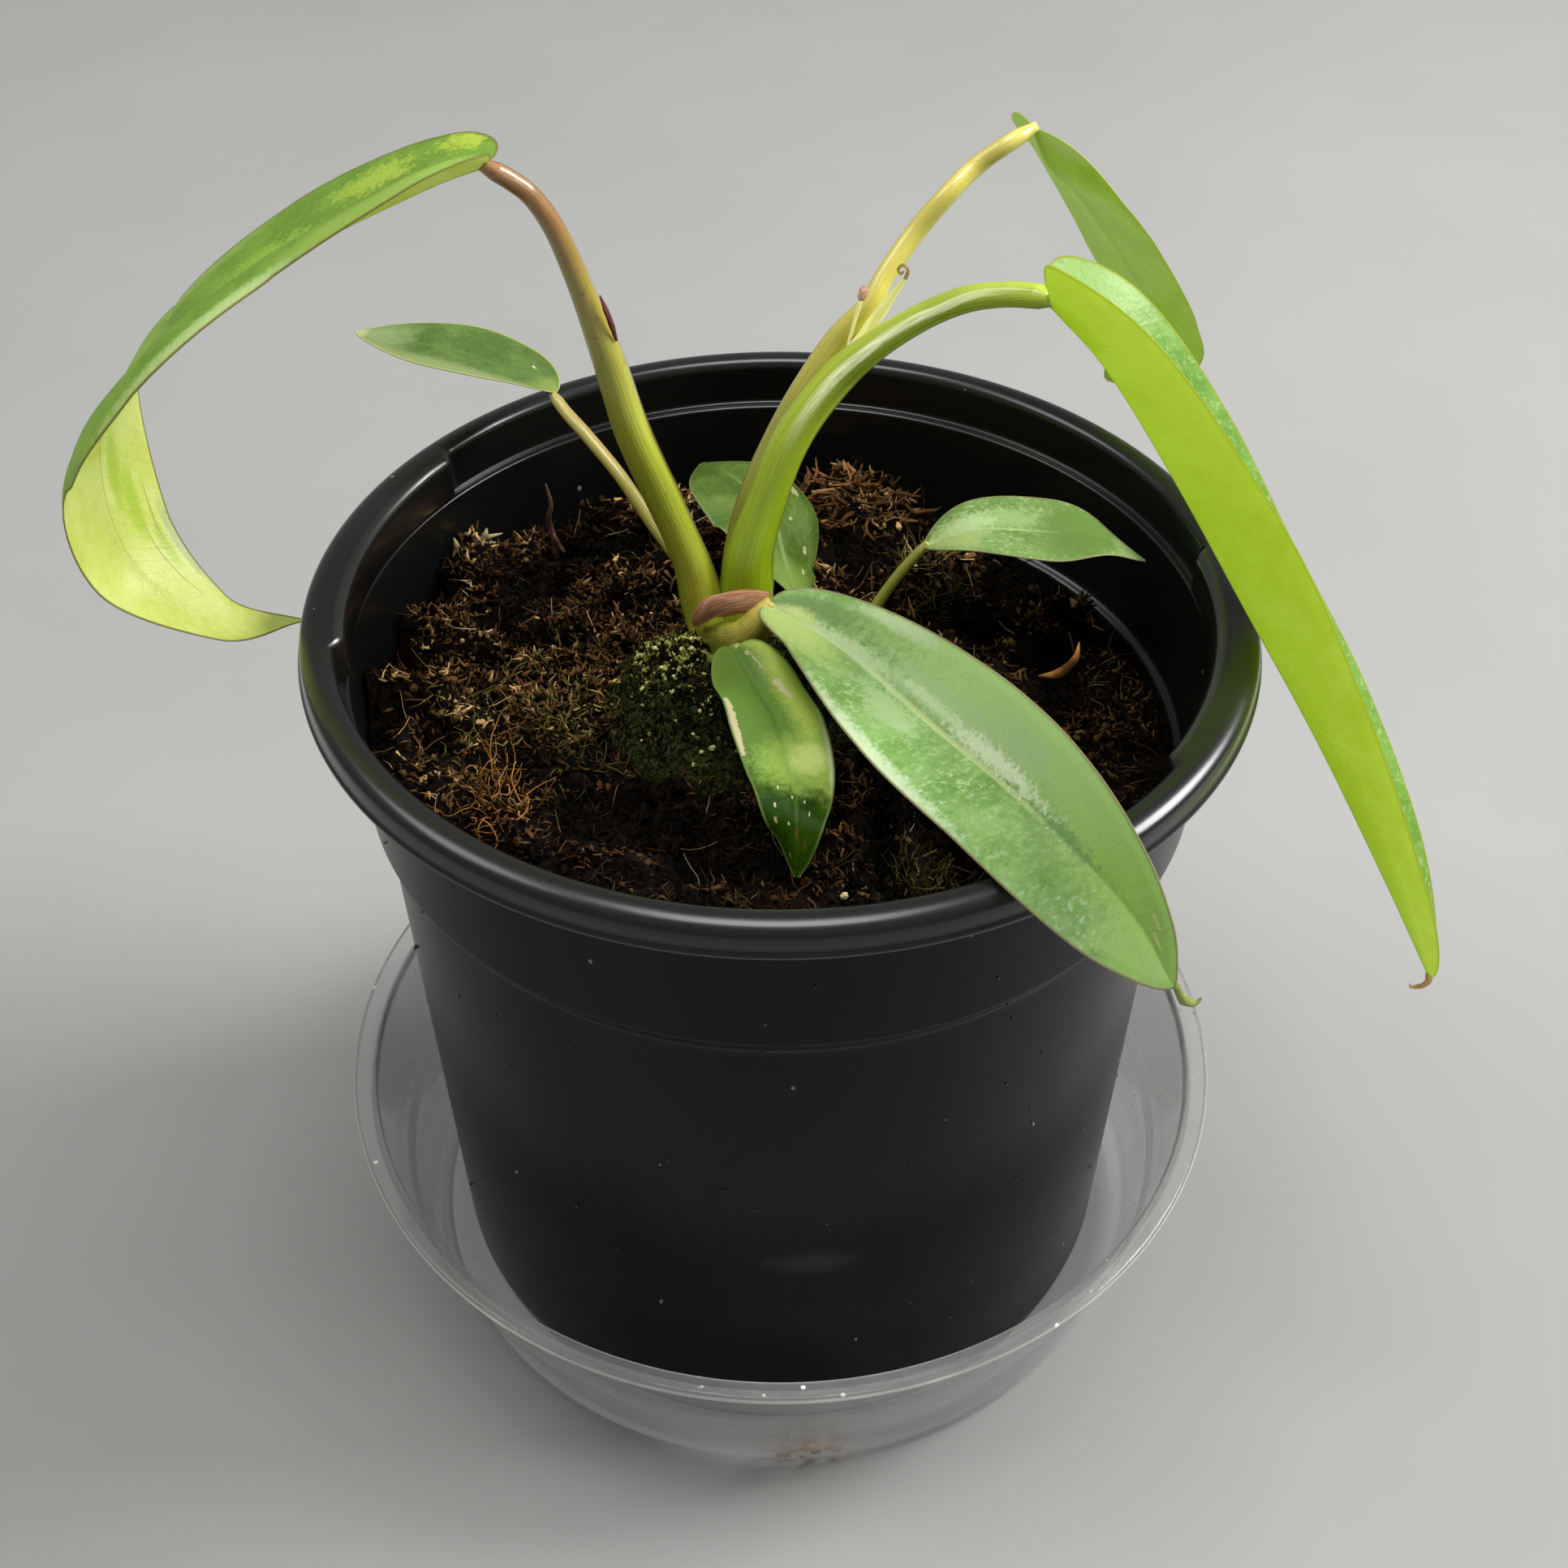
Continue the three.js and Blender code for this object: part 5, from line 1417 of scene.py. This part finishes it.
leaf_finish(
    "leaf_front", [(122, 164, 82), (150, 188, 110)], [(150, 180, 80), (176, 200, 104)],
    [(214, 230, 158), (170, 180, 100)], (150, 132, 100), (150, 200, 70),
    [
        [0.6, -0.8, 0.5, 0.8, (178, 214, 132), "upper", 0.6, 1.0],
        # A painted highlight near the base:
        [0.1, 0.5, 0.2, 0.7, (208, 232, 138), "upper", 0.8, 1.0],
        [1.0, -0.3, 0.4, 1.2, (176, 212, 108), "upper", 0.6, 1.0],
        [0.1, -0.5, 0.12, 0.36, (116, 146, 76), "upper", 0.8, 1.0],
        # The next six marks are painted sheen:
        [0.25, -0.85, 0.1, 0.2, PAINTED_SHEEN, "upper", 1.4, 1.0],
        [0.42, -0.28, 0.22, 0.3, DULL_PAINTED_SHEEN, "upper", 1.6, 1.0],
        [0.38, -0.22, 0.08, 0.1, PAINTED_SHEEN, "upper", 2.2, 1.0],
        [0.54, -0.17, 0.14, 0.17, (232, 248, 204), "upper", 2.4, 1.0],
        [0.55, -0.5, 0.1, 0.3, DULL_PAINTED_SHEEN, "upper", 2.2, 1.0],
        [0.22, -0.08, 0.14, 0.2, PAINTED_SHEEN, "upper", 2.2, 1.0],
        [0.07, -0.1, 0.07, 0.4, (206, 226, 134), "upper", 1.0, 1.0],
        # A painted sheen along the left edge:
        [0.44, 0.95, 0.2, 0.18, (214, 234, 190), "upper", 1.4, 1.0],
        [0.68, -0.07, 0.06, 0.16, (134, 172, 108), "upper", 2.6, 1.0],
        # A painted sheen:
        [0.36, 0.3, 0.1, 0.3, DULL_PAINTED_SHEEN, "upper", 2.4, 1.0],
        [0.9, 0.6, 0.14, 0.6, (170, 208, 112), "upper", 1.0, 1.0],
        [0.92, -0.4, 0.12, 0.6, (166, 200, 110), "upper", 1.0, 1.0],
        [0.89, -0.25, 0.03, 0.05, CREAM, "upper", 3.0, 0.5],
        [0.87, -0.5, 0.02, 0.04, CREAM, "upper", 3.0, 0.5],
    ], painted_sheen_flecks=0.8, rib_width=0.62, shine=0.4,
)
leaf_finish(
    "leaf_hanging", [(30, 60, 0), (56, 88, 6)], [(120, 150, 60), (150, 178, 84)],
    [(104, 142, 56), (150, 160, 90)], (120, 140, 70), (120, 170, 40),
    [
        [0.0, 0.2, 0.78, 2.2, (114, 150, 66), "upper", 0.4, 0.7],
        # Painted light on the right half:
        [0.3, -1.0, 0.5, 0.9, (206, 230, 104), "upper", 0.5, 1.0],
        [0.08, 0.8, 0.2, 0.8, (106, 132, 48), "upper", 0.5, 1.0],
        # The next three marks are painted highlights, across the bend and along the right edge:
        [0.57, -0.25, 0.14, 1.3, (172, 206, 94), "upper", 0.8, 1.0],
        [0.56, -0.45, 0.07, 0.6, (222, 240, 140), "upper", 1.2, 1.0],
        [0.53, -0.98, 0.2, 0.16, (222, 238, 186), "upper", 0.6, 1.0],
        [0.4, 0.93, 0.13, 0.11, CREAM, "upper", 1.4, 0.3],
        [0.24, -0.49, 0.05, 0.11, CREAM, "upper", 2.4, 0.5],
        [0.29, -0.55, 0.03, 0.1, CREAM, "upper", 2.4, 0.5],
        [0.1, -0.37, 0.06, 0.03, (206, 206, 150), "upper", 2.4, 0.6],
        [0.05, -0.3, 0.015, 0.08, (200, 200, 150), "upper", 2.4, 0.6],
        [0.66, 0.42, 0.009, 0.03, CREAM, "upper", 2.0, 0.5],
        [0.7, 0.1, 0.008, 0.03, CREAM, "upper", 2.0, 0.5],
        [0.77, -0.4, 0.012, 0.03, CREAM, "upper", 2.0, 0.5],
        [0.8, 0.26, 0.008, 0.04, CREAM, "upper", 2.0, 0.5],
        [0.73, 0.58, 0.01, 0.04, CREAM, "upper", 2.0, 0.5],
        [0.72, -0.23, 0.01, 0.035, CREAM, "upper", 2.0, 0.5],
        [0.78, 0.65, 0.014, 0.05, (206, 176, 130), "upper", 2.0, 0.5],
        [0.84, -0.01, 0.024, 0.035, (150, 84, 54), "upper", 2.0, 0.5],
        [0.92, 0.44, 0.014, 0.04, (190, 176, 130), "upper", 2.0, 0.5],
        [0.88, -0.4, 0.02, 0.035, (150, 96, 60), "upper", 2.0, 0.5],
    ], shine=0.1,
)
SMALL_UPPER = [(88, 116, 50), (110, 138, 68)]
SMALL_LOWER = [(140, 164, 84), (164, 186, 104)]
leaf_finish(
    "leaf_small_left", SMALL_UPPER, SMALL_LOWER, [(104, 130, 64), (150, 160, 90)], (192, 198, 124),
    (120, 160, 60),
    [
        [0.97, 0.0, 0.3, 1.7, (142, 162, 108), "upper", 0.6, 1.0],
        [0.5, -1.0, 0.6, 0.5, (150, 166, 104), "upper", 0.6, 1.0],
        [0.0, 0.0, 0.16, 1.2, (150, 170, 84), "upper", 0.6, 1.0],
        [1.0, 0.0, 0.08, 1.4, (188, 198, 132), "upper", 0.6, 0.9],
        [0.2, 0.45, 0.014, 0.04, CREAM, "upper", 2.0, 0.6],
    ],
)
leaf_finish(
    "leaf_small_back", [(88, 118, 38), (120, 148, 62)], SMALL_LOWER, [(156, 182, 100), (150, 160, 90)],
    (156, 166, 96), (130, 170, 60),
    [
        [0.06, 0.0, 0.2, 1.4, (142, 172, 78), "upper", 0.6, 1.0],
        [0.57, 0.8, 0.03, 0.08, CREAM, "upper", 2.4, 0.5],
        [0.34, 0.62, 0.02, 0.06, CREAM, "upper", 2.4, 0.5],
        [0.22, 0.52, 0.018, 0.06, CREAM, "upper", 2.4, 0.5],
        [0.32, -0.2, 0.01, 0.04, CREAM, "upper", 2.0, 0.5],
        [0.46, 0.35, 0.01, 0.04, CREAM, "upper", 2.0, 0.5],
    ],
)
leaf_finish(
    "leaf_small_right", [(108, 142, 68), (134, 166, 90)], SMALL_LOWER, [(176, 200, 126), (160, 170, 100)],
    (164, 156, 112), (140, 180, 70),
    [
        [0.7, 0.1, 0.3, 1.6, (108, 140, 66), "upper", 0.8, 1.0],
        [0.95, 0.0, 0.16, 1.6, (146, 174, 108), "upper", 0.6, 1.0],
        # The next three marks are painted sheen near the base:
        [0.14, 0.3, 0.2, 1.1, (182, 206, 126), "upper", 1.0, 1.0],
        [0.36, -0.3, 0.16, 0.4, (156, 188, 116), "upper", 1.4, 1.0],
        [0.22, -0.25, 0.14, 0.4, (186, 212, 152), "upper", 2.0, 1.0],
    ], painted_sheen_flecks=0.7,
)
LEAF_SLOTS = {"blade_back": "leaf_pale", "blade_right": "leaf_pale"}
for node in BLADES:
    small = "small" in node
    rows, columns = (76, 30) if small else (124, 44)
    blade_piece(node, node.replace("blade", "leaf"), LEAF_SLOTS.get(node, "leaf_green"), rows, columns)

# %% [markdown]
# The long leaves end in a drip tip, a thread that has withered and curled into a small hook.

# %% Drip tips
FRONT_DRIP = [
    [39.6, -71.8, 118], [40.2, -71.6, 116.6], [40.8, -71.2, 115.4], [42, -70.8, 114.4],
    [42.8, -70.4, 114.8],
]
sheath("drip_tip_front", FRONT_DRIP, [0.4, 0.42, 0.62, 0.4, 0.12], "drip_green", "leaf_green", 0.7)
RIGHT_DRIP = [
    [85.8, -20.4, 66.2], [86.2, -20, 64.2], [85.6, -19.6, 62.8], [84.4, -19.4, 62.4],
    [84, -19.4, 63],
]
sheath("drip_tip_right", RIGHT_DRIP, [0.6, 0.6, 0.45, 0.25, 0.1], "tip_brown", "leaf_pale", 0.6)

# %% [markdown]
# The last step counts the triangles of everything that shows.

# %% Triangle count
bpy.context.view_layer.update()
shown = [made for made in bpy.data.objects if made.type == "MESH"]
print("Triangles:", sum(len(loop.vertices) - 2 for made in shown for loop in made.data.polygons))
